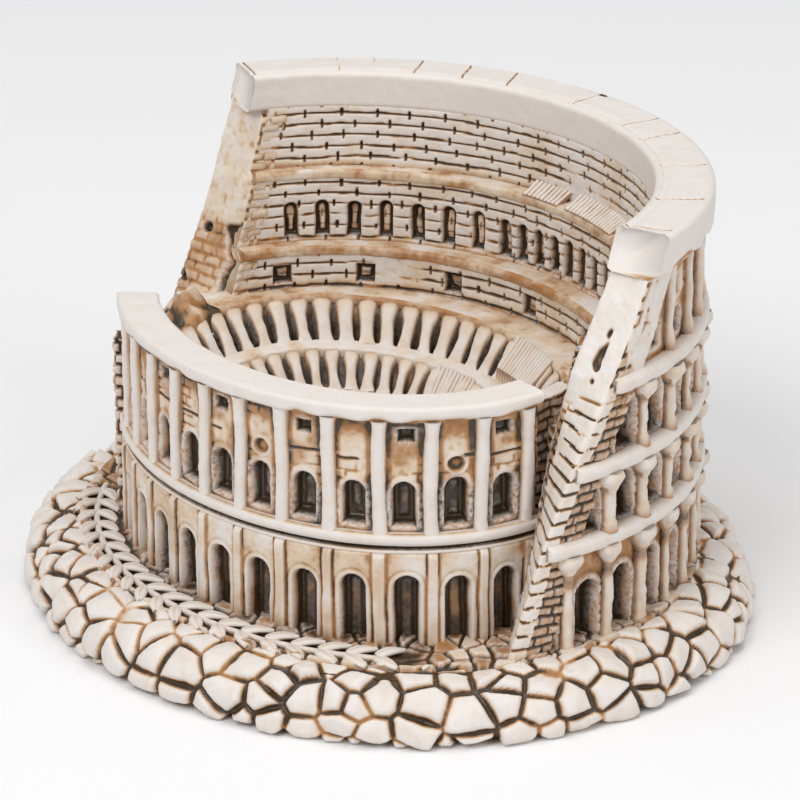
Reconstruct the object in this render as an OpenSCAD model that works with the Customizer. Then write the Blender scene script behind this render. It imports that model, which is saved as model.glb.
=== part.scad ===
// Miniature of an ancient oval amphitheatre in ruin, on a cobbled oval plinth.
// Frame: origin at the centre of the plinth's underside, +Z up, +X along the long axis.
// The low front wall faces -Y, and the tall four-storey wall stands round the +Y side.

/* [Plinth] */
// Length of the oval plinth, over its stones
plinth_l = 100; // [90:1:110]
// Width of the oval plinth, over its stones
plinth_w = 87; // [80:1:95]
// Height of the plinth's flat top
plinth_h = 6.2; // [5.6:0.2:7]
// How far the stones of the side stand out of the plinth's core
stone_t = 1.8; // [1:0.1:2.5]
// Number of stones in one course
stones = 46; // [36:1:60]
// Thickness of the felt under the plinth
felt_t = 0.8; // [0.5:0.1:1.5]

/* [Tall wall] */
// Half length of the tall wall over its cornices
tall_a = 45; // [44:0.5:46]
// Half width of the tall wall over its cornices
tall_b = 40.6; // [40:0.5:41.5]
// Height of the top of the wall
tall_h = 53.4; // [51:0.2:57]
// Thickness of the tall wall under its coping
tall_t = 6.8; // [6:0.1:8]
// Depth of the arches and the stone in front of the core
face_t = 2.6; // [2:0.1:3]
// Distance from one bay to the next
bay = 5.95; // [5.4:0.05:6.4]

/* [Front wall] */
// Half length of the front wall
low_a = 36; // [35:0.5:37]
// Half width of the front wall
low_b = 28.2; // [27.5:0.1:29]
// Thickness of the front wall
low_t = 4.6; // [4:0.1:5]
// Distance from one of its bays to the next
front_bay = 6.1; // [5.6:0.1:6.6]
// Height of the top of the front wall
low_h = 35.8; // [34.8:0.2:37.8]

/* [Arena] */
// Half length of the arena floor
arena_a = 19; // [17:0.5:20]
// Half width of the arena floor
arena_b = 12.4; // [11:0.2:13]
// Height of the arena floor
arena_h = 13.2; // [12:0.2:14]

/* [Hidden] */
$fn = 24;
ivory = [0.86, 0.83, 0.79];
cream = [0.88, 0.86, 0.84];
ochre = [0.62, 0.47, 0.3];
umber = [0.33, 0.22, 0.12];
felt_green = [0.16, 0.24, 0.18];

// The walls' common centre lies a little to the front of the plinth's centre.
wall_x = -0.8;
wall_y = -2.6;
step_deg = 3;
// Radius of an engaged column's shaft, and how deep flat trim beds into a curved wall.
col_r = 0.8;
bed = 0.05;

// Heights of the storeys. A cornice or ledge is one level thick.
foot = plinth_h;
course = plinth_h / 3;
level = 1.6;
storey_1 = 18.4;
storey_2 = 27.2;
storey_3 = 36.6;
coping_z = 48.8;
ledge_z = [24.8, 30.4, 40];
walk_z = 20.8;
podium_z = 16;

// Half axes [a, b] of the ovals, from the outside in.
tall = [tall_a, tall_b];
tall_face = tall - [1.8, 1.8];
tall_core = tall_face - [face_t, face_t];
inner_upper = tall - [tall_t, tall_t];
inner_middle = inner_upper - [1.4, 2.3];
inner_lower = inner_middle - [2, 3];
low = [low_a, low_b];
low_core = low - [2.2, 2.2];
low_inner = low - [low_t, low_t];
walk_out = [27.6, 20.4];
walk_in = [25.2, 18];
podium_out = [21.6, 14.8];
arena = [arena_a, arena_b];

// Angles, counted on the oval from +X towards +Y, at which the rings start and end.
right_end = -5;
left_end = 206;
front_right = 12;
front_left = -117;
spur_t = 4.6;

function at(r, t) = [wall_x + r[0] * cos(t), wall_y + r[1] * sin(t)];
function facing(r, t) = atan2(sin(t) / r[1], cos(t) / r[0]);
function pace(r, t) = sqrt(pow(r[0] * sin(t), 2) + pow(r[1] * cos(t), 2));
function arc(r, t0, t1) =
    let (n = max(1, ceil(abs(t1 - t0) / step_deg)))
    [for (i = [0 : n]) at(r, t0 + (t1 - t0) * i / n)];
// Angles of the bays, evenly spaced along the oval.
function half_bay(r, t, pitch) = t + pitch * 90 / PI / pace(r, t);
function bays(r, t, t1, pitch) =
    t > t1 ? [] : concat([t], bays(r, t + pitch * 180 / PI / pace(r, half_bay(r, t, pitch)), t1, pitch));

// A piece of the ring between two ovals, from angle t0 to t1.
module sector(r_out, r_in, t0, t1, z0, z1)
    translate([0, 0, z0])
        linear_extrude(z1 - z0)
            polygon(concat(arc(r_out, t0, t1), arc(r_in, t1, t0)));

module closed_ring(r_out, r_in, z0, z1)
    difference() {
        translate([0, 0, z0]) linear_extrude(z1 - z0) polygon(arc(r_out, 0, 357));
        translate([0, 0, z0 - 1]) linear_extrude(z1 - z0 + 2) polygon(arc(r_in, 0, 357));
    }

// Puts a shape on an oval at an angle, with its own X pointing out of the wall.
module on_wall(r, t, z) {
    p = at(r, t);
    translate([p[0], p[1], z]) rotate([0, 0, facing(r, t)]) children();
}

module arch(w, h, depth) {
    translate([-depth, -w / 2, 0]) cube([2 * depth, w, h - w / 2]);
    translate([-depth, 0, h - w / 2]) rotate([0, 90, 0]) cylinder(h = 2 * depth, d = w);
}

module opening(w, h, depth)
    translate([-depth, -w / 2, 0]) cube([2 * depth, w, h]);

// Everything past the broken right end. grow moves the cut into the wall.
module past_right(grow)
    translate([wall_x, wall_y, 0]) rotate([90, 0, 102])
        linear_extrude(80)
            polygon([[-70, -2], [-16 + grow, -2], [-12.1 + grow, foot], [-4 + grow, 26.8],
                     [10 + grow, 50.8], [12 + grow, 70], [-70, 70]]);

// Everything past the broken left end, which runs down in steps.
module past_left(grow)
    translate([wall_x, wall_y, 0]) rotate([90, 0, 280])
        linear_extrude(80)
            polygon([[70, -2], [7.2 - grow, -2], [6.2 - grow, 18.8], [-0.8 - grow, 24.2],
                     [-5.6 - grow, 35.3], [-10.8 - grow, 51.8], [-11.4 - grow, 70], [70, 70]]);

module tall_part() {
    difference() {
        children();
        past_right(spur_t);
        past_left(spur_t);
    }
}

/* Plinth */

// Half axes of the plinth's core at a height: the side bulges and rounds over at the top.
function core_at(k) = [plinth_l / 2 - stone_t - k, plinth_w / 2 - stone_t - k];
function oval(r) = [for (t = [0 : step_deg : 357]) [r[0] * cos(t), r[1] * sin(t)]];

module felt_pad()
    color(felt_green) linear_extrude(felt_t) polygon(oval(core_at(4)));

module plinth_core()
    color(umber)
        difference() {
            union() {
                linear_extrude(course) polygon(oval(core_at(0.3)));
                translate([0, 0, course]) linear_extrude(course) polygon(oval(core_at(0)));
                translate([0, 0, 2 * course]) linear_extrude(course) polygon(oval(core_at(3.2)));
            }
            translate([0, 0, -1]) linear_extrude(1 + felt_t) polygon(oval(core_at(4)));
        }

// One course of cobbles: four-sided stones with uneven corners, standing on the core's side.
module cobble_course(r, z0, z1, tilt, turn, seed) {
    n = stones;
    u = rands(-0.2, 0.2, n * 4, seed);
    for (i = [0 : n - 1]) {
        t = (i + turn) * 360 / n;
        w = pace(r, t) * PI / n * 0.93;
        h = (z1 - z0) / 2 - 0.1;
        translate([r[0] * cos(t), r[1] * sin(t), (z0 + z1) / 2])
            rotate([0, 0, atan2(sin(t) / r[1], cos(t) / r[0])])
                rotate([90, 0, 90])
                    rotate([-tilt, 0, 0])
                        linear_extrude(stone_t + u[4 * i])
                            polygon([[-w * (1 - abs(u[4 * i])), -h], [w * (1 - abs(u[4 * i + 1])), -h * 0.92],
                                     [w * 1.0, h * (0.2 + u[4 * i + 2])], [w * (1 - abs(u[4 * i + 2])), h],
                                     [-w * (1 - abs(u[4 * i + 3])), h * 0.94], [-w * 1.0, -h * (0.2 + u[4 * i + 3])]]);
    }
}

module cobbles_bottom() color(ivory) cobble_course(core_at(0.3), 0.1, course, 0, 0, 11);
module cobbles_middle() color(ivory) cobble_course(core_at(0), course + 0.1, 2 * course, 0, 0.5, 12);
module cobbles_top() color(ivory) cobble_course(core_at(3.2), 2 * course + 0.1, 3 * course, 24, 0, 13);

// Flat stones laid on the plinth's top, in rows round the foot of the walls.
module flag_row(inset, depth, t0, t1, n, seed) {
    u = rands(-0.25, 0.25, n * 2, seed);
    r = [plinth_l / 2 - inset, plinth_w / 2 - inset];
    for (i = [0 : n - 1]) {
        t = t0 + (i + 0.5) * (t1 - t0) / n;
        w = pace(r, t) * (t1 - t0) / n * PI / 360 * 0.88;
        d = depth / 2 * 0.86;
        translate([r[0] * cos(t), r[1] * sin(t), foot])
            rotate([0, 0, atan2(sin(t) / r[1], cos(t) / r[0])])
                linear_extrude(0.7 + u[2 * i] * 0.6)
                    polygon([[-d, -w * (1 - abs(u[2 * i]))], [d, -w * (1 - abs(u[2 * i + 1]))],
                             [d * 0.9, w * 0.96], [-d * 0.94, w * (0.96 - abs(u[2 * i]))]]);
    }
}

module paving_flags()
    color(ivory) {
        flag_row(4, 2, -24, 128, 42, 21);
        flag_row(4, 2, 219, 235, 5, 22);
    }

// A garland of raised laurel leaves on the plinth's top, in front of the low wall.
module leaf(l, w)
    linear_extrude(1.1)
        intersection() {
            translate([0, -l * 0.62 + w / 2]) circle(r = l * 0.62, $fn = 40);
            translate([0, l * 0.62 - w / 2]) circle(r = l * 0.62, $fn = 40);
        }

module laurel_band() {
    r = [42.6, 36.2];
    n = 15;
    color(cream)
        for (i = [0 : n - 1]) {
            t = -124 + i * 98 / (n - 1);
            translate([r[0] * cos(t), r[1] * sin(t), foot])
                rotate([0, 0, atan2(sin(t) / r[1], cos(t) / r[0])]) {
                    translate([1.45, 0, 0]) rotate([0, 0, 62]) leaf(4.2, 1.9);
                    translate([-1.45, 0, 0]) rotate([0, 0, 118]) leaf(4.2, 1.9);
                }
        }
}

/* Front wall: two storeys under a plain coping */

front_bays = bays(low, -109.6, front_right + 1, front_bay);

module front_arcade_lower()
    color(ivory)
        difference() {
            sector(low, low_inner, front_left, front_right, foot, storey_1 - 0.6);
            for (t = front_bays)
                on_wall(low, half_bay(low, t, front_bay), foot - 0.01) arch(3.3, 9.2, 2);
        }

// Flat strips between the arches of the lower storey.
module front_piers()
    color(cream)
        for (t = front_bays)
            on_wall(low, t, foot) translate([-bed, -0.65, 0]) cube([0.45, 1.3, storey_1 - 0.6 - foot]);

module front_string_course()
    color(cream) {
        sector(low + [0.2, 0.2], low_inner, front_left, front_right, storey_1 - 0.6, storey_1 - 0.1);
        sector(low - [0.5, 0.5], low_inner, front_left, front_right, storey_1 - 0.1, storey_1 + 0.3);
        sector(low + [0.4, 0.4], low_inner, front_left, front_right, storey_1 + 0.3, storey_1 + 1.9);
    }

module front_arcade_upper()
    color(ivory)
        difference() {
            sector(low - [0.9, 0.9], low_inner, front_left, front_right, storey_1 + 1.9, low_h - 2);
            for (i = [0 : len(front_bays) - 1]) {
                t = half_bay(low, front_bays[i], front_bay);
                on_wall(low - [0.9, 0.9], t, storey_1 + 2.4) arch(2.7, 5.6, 1.8);
                if (i % 2 == 0)
                    on_wall(low - [0.9, 0.9], t, storey_1 + 11) opening(1.9, 1.5, 1.5);
            }
        }

module front_pilasters()
    color(cream)
        for (t = front_bays)
            on_wall(low - [0.9, 0.9], t, storey_1 + 1.9)
                translate([-bed, -0.95, 0]) cube([0.95, 1.9, low_h - 2 - storey_1 - 1.9]);

module front_coping()
    color(cream)
        sector(low + [0.3, 0.3], low_inner - [0.3, 0.3], front_left, front_right, low_h - 2, low_h);

/* Tall wall: three arcades and an attic, with an engaged column between the bays */

tall_bays = bays(tall_face, -0.8, left_end - 2, bay);

module outer_arcade(z0, z1)
    color(ivory)
        tall_part()
            difference() {
                sector(tall_face, tall_core, right_end, left_end, z0, z1);
                for (t = tall_bays)
                    on_wall(tall_face, half_bay(tall_face, t, bay), z0 + 0.8)
                        arch(3.2, min(z1 - z0 - 1.4, 6.8), face_t * 2);
            }

module column(h) {
    cylinder(h = h, r = col_r);
    cylinder(h = 0.8, r = col_r + 0.3);
    translate([0, 0, h - 1.3]) cylinder(h = 1.3, r1 = col_r, r2 = col_r + 0.45);
}

// The line of columns at one storey. The broken ends leave out those past the slope.
module column_row(z0, z1)
    color(cream)
        difference() {
            for (t = tall_bays)
                if (t > right_end + 9 + (z0 - foot) * 0.66 && t < left_end - 8 - (z0 - foot) * 0.9)
                    on_wall(tall_face, t, z0) translate([0.35, 0, 0]) column(z1 - z0);
            sector(tall_face, tall_core - [1, 1], right_end, left_end, z0 - 1, z1 + 1);
        }

module cornice(z)
    color(cream)
        tall_part() sector(tall, tall_core, right_end, left_end, z, z + level);

module outer_arcade_1() outer_arcade(foot, storey_1);
module outer_arcade_2() outer_arcade(storey_1 + level, storey_2);
module outer_arcade_3() outer_arcade(storey_2 + level, storey_3);
module outer_columns_1() column_row(foot, storey_1);
module outer_columns_2() column_row(storey_1 + level, storey_2);
module outer_columns_3() column_row(storey_2 + level, storey_3);
module outer_cornice_1() cornice(storey_1);
module outer_cornice_2() cornice(storey_2);
module outer_cornice_3() cornice(storey_3);

module attic_wall()
    color(ivory)
        tall_part()
            difference() {
                sector(tall_face, tall_core, right_end, left_end, storey_3 + level, coping_z);
                for (i = [0 : len(tall_bays) - 1])
                    on_wall(tall_face, half_bay(tall_face, tall_bays[i], bay),
                            storey_3 + level + (i % 2 == 0 ? 5.6 : 2))
                        opening(1.7, 2.1, face_t * 2);
            }

module attic_pilasters()
    color(cream)
        for (t = tall_bays)
            if (t > 34 && t < 170)
                on_wall(tall_face, t, storey_3 + level)
                    translate([-bed, -0.55, 0]) cube([0.95, 1.1, coping_z - storey_3 - level]);

module top_coping()
    color(cream)
        difference() {
            sector(tall + [0.3, 0.3], inner_upper - [0.3, 0.3], 24, 184, coping_z, tall_h);
            past_right(0);
            past_left(0);
        }

/* Inner side of the tall wall: three set-back stages with a ledge over each */

// A stage of the inner wall from oval r to the back of the arcades.
module stage(r, z0, z1)
    tall_part() sector(tall_core, r, right_end, left_end, z0, z1);

module inner_wall_lower()
    color(ivory)
        difference() {
            stage(inner_lower, foot, ledge_z[1]);
            for (t = [88, 104, 120, 136, 150, 171])
                on_wall(inner_lower, t, ledge_z[0] + level + 0.6) opening(2.2, 2, 1.4);
        }

module inner_wall_middle()
    color(ivory)
        difference() {
            stage(inner_middle, ledge_z[1] + level / 2, ledge_z[2]);
            for (t = [66 : 7.3 : 169])
                on_wall(inner_middle, t, ledge_z[1] + 1.4) arch(1.9, 4.2, 1.3);
        }

module inner_wall_upper()
    color(ivory) stage(inner_upper, ledge_z[2] + level / 2, coping_z);

module ledge(r_lip, z)
    color(cream) tall_part() sector(tall_core, r_lip, right_end, left_end, z, z + level / 2);

module ledge_lower()
    color(cream)
        tall_part() sector(inner_lower, low_inner, front_right, left_end - 12, ledge_z[0], ledge_z[0] + level / 2);
module ledge_middle() ledge(inner_lower - [0.2, 0.2], ledge_z[1]);
module ledge_upper() ledge(inner_middle - [0.2, 0.2], ledge_z[2]);

/* Seating bowl: two rings of open vaults, a walk between them, the podium and the arena */

// A solid ring whose top slopes down inwards in steps.
module sloping_ring(r_out, r_in, z_out, z_in, z0) {
    n = 3;
    for (i = [0 : n - 1]) {
        a = r_in + (r_out - r_in) * i / n;
        b = r_in + (r_out - r_in) * (i + 1) / n;
        closed_ring(b, a, z0, z_in + (z_out - z_in) * i / n);
    }
}

// Thin radial walls that stand on a sloping ring and part its vaults.
module fins(r_out, r_in, z_out, z_in, n, t0, t1)
    for (i = [0 : n - 1]) {
        t = t0 + (t1 - t0) * i / (n - 1);
        d = norm(at(r_out, t) - at(r_in, t));
        on_wall(r_out, t, 0)
            rotate([90, 0, 0])
                translate([0, 0, -0.45])
                    linear_extrude(0.9)
                        polygon([[0, z_out - 1.6], [0, z_out + 1.6], [-0.9, z_out + 1.6],
                                 [-d + 0.3, z_in + 1], [-d + 0.3, z_in - 0.2]]);
    }

module upper_vaults()
    color(ochre) sloping_ring(low_inner, walk_out, ledge_z[0] - 1.6, walk_z - 0.4, foot);
module upper_fins()
    color(cream) fins(low_inner - [0.2, 0.2], walk_out, ledge_z[0] - 1.6, walk_z - 0.4, 52, 2, 355);
module upper_walk() color(cream) closed_ring(walk_out, walk_in, foot, walk_z);
module lower_vaults()
    color(ochre) sloping_ring(walk_in, podium_out, walk_z - 1.4, podium_z - 0.2, foot);
module lower_fins()
    color(cream) fins(walk_in - [0.2, 0.2], podium_out, walk_z - 1.6, podium_z - 0.2, 44, 4, 356);
module podium_wall() color(cream) closed_ring(podium_out, arena, foot, podium_z + 0.6);
module arena_floor()
    color(umber) translate([0, 0, foot]) linear_extrude(arena_h - foot) polygon(arc(arena, 0, 357));

// Short flights of steps that run down the bowl between the vaults.
module flight(r, t, w, z_top, z_foot)
    on_wall(r, t, 0)
        for (i = [0 : 4])
            translate([-0.7 * (i + 1), -w / 2, z_foot])
                cube([0.71, w, (z_top - z_foot) * (1 - i / 5)]);

module stair_flights()
    color(ivory) {
        for (t = [91, 229, 302]) flight(low_inner - [0.4, 0.4], t, 6, ledge_z[0], walk_z - 0.4);
        for (t = [110, 258]) flight(walk_in - [0.3, 0.3], t, 4, walk_z, podium_z + 0.2);
    }

/* Broken ends */

module right_band(z0, z1)
    difference() {
        intersection() {
            sector(tall - [0.4, 0.4], low_inner + [1.8, 1.8], -24, 60, z0, z1);
            past_right(spur_t);
        }
        past_right(0);
        sector(low + [0.4, 0.4], low_inner - [1, 1], -30, front_right, foot - 1, low_h + 0.01);
    }

module right_spur() color(ivory) right_band(foot, storey_3 + level);
module right_end_slab() color(cream) right_band(storey_3 + level, coping_z);

module left_spur()
    color(ivory)
        difference() {
            intersection() {
                sector(tall - [0.4, 0.4], inner_lower, 150, left_end + 6, foot, coping_z);
                past_left(spur_t);
            }
            past_left(0);
        }

// The last pier of the front wall, with the stub of the outer ring that dies into it.
module left_end_pier()
    color(ivory) {
        sector(low + [1, 1], low_inner, front_left - 5, front_left, foot, low_h - 2.2);
        translate([0, 0, foot])
            linear_extrude(storey_1 - foot)
                polygon(concat(arc(low, 214, 237), [[-15.5, -33], [-38.6, -21.6]]));
    }

// Low rubble between the front wall and the tall wall's left end.
module left_rubble()
    color(ochre)
        for (i = [0 : 4])
            sector(low, low_inner, 237.9 - 6.4 * i, 237.9 - 6.4 * (i + 1), foot, 25.8 - (i % 3) * 1.6 - i * 0.4);

felt_pad();
plinth_core();
cobbles_bottom();
cobbles_middle();
cobbles_top();
paving_flags();
laurel_band();
front_arcade_lower();
front_piers();
front_string_course();
front_arcade_upper();
front_pilasters();
front_coping();
outer_arcade_1();
outer_columns_1();
outer_cornice_1();
outer_arcade_2();
outer_columns_2();
outer_cornice_2();
outer_arcade_3();
outer_columns_3();
outer_cornice_3();
attic_wall();
attic_pilasters();
top_coping();
inner_wall_lower();
inner_wall_middle();
inner_wall_upper();
ledge_lower();
ledge_middle();
ledge_upper();
upper_vaults();
upper_fins();
upper_walk();
lower_vaults();
lower_fins();
podium_wall();
arena_floor();
stair_flights();
right_spur();
right_end_slab();
left_spur();
left_end_pier();
left_rubble();
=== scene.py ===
import math

import bmesh
import bpy
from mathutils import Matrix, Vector
import numpy as np
from bpy.props import FloatProperty, FloatVectorProperty, IntProperty, PointerProperty
from bpy.types import Operator, Panel, PropertyGroup


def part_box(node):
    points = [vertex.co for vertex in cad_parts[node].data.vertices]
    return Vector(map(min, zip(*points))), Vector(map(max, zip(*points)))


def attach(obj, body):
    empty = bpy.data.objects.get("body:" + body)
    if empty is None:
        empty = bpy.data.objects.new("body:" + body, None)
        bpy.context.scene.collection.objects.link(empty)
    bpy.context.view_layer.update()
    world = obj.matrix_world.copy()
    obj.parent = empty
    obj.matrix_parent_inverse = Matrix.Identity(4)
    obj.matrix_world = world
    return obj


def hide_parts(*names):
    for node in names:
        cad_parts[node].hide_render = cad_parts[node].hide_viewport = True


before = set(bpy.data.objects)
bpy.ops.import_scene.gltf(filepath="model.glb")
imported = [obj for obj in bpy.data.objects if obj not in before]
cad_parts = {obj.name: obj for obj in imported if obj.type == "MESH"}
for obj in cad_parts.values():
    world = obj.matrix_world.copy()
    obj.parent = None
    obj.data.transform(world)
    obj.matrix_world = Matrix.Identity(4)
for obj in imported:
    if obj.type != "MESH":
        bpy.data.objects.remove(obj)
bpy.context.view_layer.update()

bl_info = {
    "name": "Ruined Amphitheatre Miniature",
    "version": (1, 0, 0),
    "blender": (4, 5, 0),
    "location": "View3D > Sidebar > Miniature",
    "description": "Sculpts a cast resin miniature of a ruined oval amphitheatre, with its antique wash",
    "category": "Add Mesh",
}

# All lengths below are in millimetres. A mesh is scaled to metres when it is made.
MM = 0.001


def extent(node):
    """Lowest and highest corner of a CAD node, in millimetres."""
    low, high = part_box(node)
    return np.array(low) / MM, np.array(high) / MM


def levels(node):
    """Height of the underside and of the top of a CAD node."""
    low, high = extent(node)
    return low[2], high[2]


# The walls' shared centre is the arena's. The plinth's centre is the origin.
CENTRE = sum(extent("arena_floor"))[:2] / 2


class Oval:
    """An oval with its arc length, so that things can be spaced evenly along it. Angles are in degrees."""

    def __init__(self, a, b, centre=CENTRE):
        self.a, self.b, self.centre = a, b, centre
        self.turn = np.linspace(-220, 420, 6401)
        t = np.radians(self.turn)
        pace = np.hypot(a * np.sin(t), b * np.cos(t)) * np.radians(self.turn[1] - self.turn[0])
        self.run = np.concatenate([[0], np.cumsum((pace[1:] + pace[:-1]) / 2)])
        self.run -= np.interp(0, self.turn, self.run)

    def at(self, t):
        t = np.radians(t)
        return np.stack([self.centre[0] + self.a * np.cos(t), self.centre[1] + self.b * np.sin(t)], -1)

    def out(self, t):
        t = np.radians(t)
        n = np.stack([np.cos(t) / self.a, np.sin(t) / self.b], -1)
        return n / np.linalg.norm(n, axis=-1, keepdims=True)

    def s(self, t):
        return np.interp(t, self.turn, self.run)

    def t(self, s):
        return np.interp(s, self.run, self.turn)

    def inset(self, d, e=None):
        return Oval(self.a - d, self.b - (d if e is None else e), self.centre)

    def bays(self, first, pitch, last):
        """Angles of evenly spaced bays from first to last."""
        return self.t(np.arange(self.s(first), self.s(last) + 1e-6, pitch))


def half_size(node):
    low, high = extent(node)
    return (high - low)[:2] / 2


# Ovals and heights, read from the frame.
RIM = Oval(*half_size("cobbles_middle"), centre=np.zeros(2))
TALL = Oval(*(extent("outer_cornice_1")[1][:2] - CENTRE))
TALL_FACE = TALL.inset(1.8)
TALL_CORE = TALL.inset(4.4)
INNER_UPPER = TALL.inset(6.8)
INNER_MIDDLE = TALL.inset(8.2, 9.1)
INNER_LOWER = TALL.inset(10.2, 12.1)
STRING_LOW, STRING_HIGH = extent("front_string_course")
STRING_OUT = 0.4
LOW = Oval(STRING_HIGH[0] - STRING_OUT - CENTRE[0], CENTRE[1] - STRING_OUT - STRING_LOW[1])
LOW_PANEL = LOW.inset(0.9)
LOW_INNER = LOW.inset(4.6)
WALK_OUT = Oval(*half_size("upper_walk"))
WALK_IN = WALK_OUT.inset(2.4)
PODIUM_OUT = Oval(*half_size("podium_wall"))
ARENA = Oval(*half_size("arena_floor"))
GROUND = levels("plinth_core")[1]
TOP = levels("top_coping")[1]

# Where the two walls start and end, as angles on their ovals.
FRONT_LEFT, FRONT_RIGHT = -117, 12
LEFT_END, RIGHT_END = 206, -5

# How far off an opening counts as when a bay has none.
FAR = 9.0

# Each resin finish: the strength of its wash, its overall dirt and how blotchy it is.
FINISHES = {
    "Cobbles": (1.0, 0.02, 0.45), "Paving": (1.0, 0.04, 0.6), "Bed": (1.0, 0.9, 0.5),
    "Leaves": (0.9, 0.03, 0.4), "Walls": (1.0, 0.03, 0.55), "Panels": (1.0, 0.06, 0.8),
    "Trim": (0.9, 0.0, 0.35), "Coping": (0.8, 0.0, 0.15), "Arcades": (1.0, 0.06, 0.8),
    "Columns": (1.0, 0.13, 0.9), "Inner walls": (1.0, 0.03, 0.5), "Ledges": (0.9, 0.04, 0.6),
    "Vaults": (1.0, 0.05, 0.5), "Walks": (1.0, 0.05, 0.5), "Spurs": (1.0, 0.03, 0.4),
}


# ---------------------------------------------------------------- carving tools


def ramp(low, high, x):
    """0 below low, 1 above high, smooth between."""
    x = np.clip((x - low) / (high - low), 0, 1)
    return x * x * (3 - 2 * x)


def chance(i, j=0, k=0, seed=0):
    """A repeatable random number from 0 to 1 for whole-number places."""
    i, j, k = (np.asarray(v).astype(np.int64) for v in (i, j, k))
    n = (i * 374761393 + j * 668265263 + k * 1440662683 + seed * 982451653) & 0xFFFFFFFF
    n = ((n ^ (n >> 13)) * 1274126177) & 0xFFFFFFFF
    n = ((n ^ (n >> 15)) * 1103515245) & 0xFFFFFFFF
    return ((n ^ (n >> 16)) & 0xFFFFF) / 0xFFFFF


def lumps(p, size, seed=0):
    """Smooth hills from -1 to 1, about size across, at points p."""
    q = p / size
    low = np.floor(q)
    f = q - low
    f = f * f * (3 - 2 * f)
    i, j, k = (low[..., n].astype(np.int64) for n in range(3))
    total = 0
    for a in (0, 1):
        for b in (0, 1):
            for c in (0, 1):
                w = (f[..., 0] if a else 1 - f[..., 0]) * (f[..., 1] if b else 1 - f[..., 1])
                total = total + w * (f[..., 2] if c else 1 - f[..., 2]) * chance(i + a, j + b, k + c, seed)
    return total * 2 - 1


def wander(s, size, seed, row=0):
    """Smooth hills from -1 to 1 that change only along a run, with another set for each row."""
    return lumps(np.stack([s, s * 0 + row, s * 0], -1), size, seed)


def rough(p, size, seed=0, octaves=3):
    """Hills with smaller hills on them."""
    return sum(lumps(p, size / 2**n, seed + n) / 1.8**n for n in range(octaves)) / 1.6


def soften(h, reach):
    """A grid blurred over about reach cells each way."""
    r = max(1, int(round(reach)))
    for _ in range(2):
        for axis in (0, 1):
            if h.shape[axis] < 2:
                continue
            pad = [(0, 0), (0, 0)]
            pad[axis] = (r + 1, r)
            total = np.cumsum(np.pad(h, pad, mode="edge"), axis=axis)
            n = total.shape[axis]
            hi = np.take(total, range(2 * r + 1, n), axis=axis)
            lo = np.take(total, range(0, n - 2 * r - 1), axis=axis)
            h = (hi - lo) / (2 * r + 1)
    return h


def opening(x, y, width, height, arched=True):
    """Distance outside an opening that stands on y = 0. It is negative inside."""
    if not arched:
        return np.maximum(np.abs(x) - width / 2, np.abs(y - height / 2) - height / 2)
    spring = height - width / 2
    low = np.maximum(np.abs(x) - width / 2, -y)
    return np.where(y < spring, low, np.hypot(x, y - spring) - width / 2)


# How far apart the rows of bricks lie in the noise that shifts them.
ROW_STEP = 7.3


def courses(s, z, height, length, seed, wave=0.14):
    """Distance to the bed joint and to the end joint of coursed bricks, and each brick's own number."""
    p = np.stack([s, np.zeros_like(s), z], -1)
    z = z + wave * lumps(p, 6, seed) + wave * 0.5 * lumps(p, 1.7, seed + 1)
    row = np.floor(z / height)
    shift = 0.5 * row + 0.3 * chance(row, seed=seed)
    s = s + length * shift + 0.22 * length * wander(s, length * 1.6, seed + 2, row * ROW_STEP)
    brick = np.floor(s / length)
    bed = (0.5 - np.abs(z / height - row - 0.5)) * height
    end = (0.5 - np.abs(s / length - brick - 0.5)) * length
    return bed, end, chance(row, brick, seed=seed)


def mortar(bed, end, bed_width, end_width, end_core=0.08):
    """1 in the joints of coursed bricks, from their two distances, and 0 on the bricks."""
    return np.clip(ramp(bed_width, 0.1, bed) + ramp(end_width, end_core, end), 0, 1)


def stones(s, v, across, along, seed, jitter, around):
    """Irregular fitted stones, around of them in a ring: distance to the joint, each stone's numbers, and the
    place within the stone."""
    gs, gv = s / across, v / along
    i0, j0 = np.floor(gs), np.floor(gv)

    def site(di, dj):
        i, j = i0 + di, j0 + dj
        k = i % around
        x = (i + 0.5 * (j % 2) + 0.5 + jitter * (chance(k, j, 1, seed) - 0.5) - gs) * across
        y = (j + 0.5 + jitter * (chance(k, j, 2, seed) - 0.5) - gv) * along
        return x, y, k, j

    near, own = np.full(s.shape, 1e9), [np.zeros(s.shape) for _ in range(4)]
    reach = [(a, b) for a in (-2, -1, 0, 1, 2) for b in (-1, 0, 1)]
    for di, dj in reach:
        x, y, k, j = site(di, dj)
        d = np.hypot(x, y)
        take = d < near
        near = np.where(take, d, near)
        own = [np.where(take, new, old) for new, old in zip((x, y, k, j), own)]
    joint = np.full(s.shape, 1e9)
    for di, dj in reach:
        x, y, _, _ = site(di, dj)
        gap = np.hypot(x - own[0], y - own[1])
        other = gap > 1e-6
        mid = ((x + own[0]) * (x - own[0]) + (y + own[1]) * (y - own[1])) / 2 / np.where(other, gap, 1)
        joint = np.where(other, np.minimum(joint, mid), joint)
    numbers = [chance(own[2], own[3], 10 + n, seed) for n in range(4)]
    return joint, numbers, -own[0], -own[1]


def wash_of(h, grain):
    """How much wash gathers in the hollows of a carved grid, plus a wider painted shade round large hollows,
    and how much its high edges are rubbed clean.
    """
    near = soften(h, 0.4 / grain) - h
    # The near term is wash in the hollows; the wide term is painted shade, a broad occlusion darkening round
    # large hollows.
    wide = soften(h, 1.3 / grain) - h
    wash = 2.6 * np.clip(near, 0, None) + 0.75 * np.clip(wide, 0, None)
    return wash, np.clip(-4 * near, 0, 1)


# ---------------------------------------------------------------- mesh making


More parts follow.
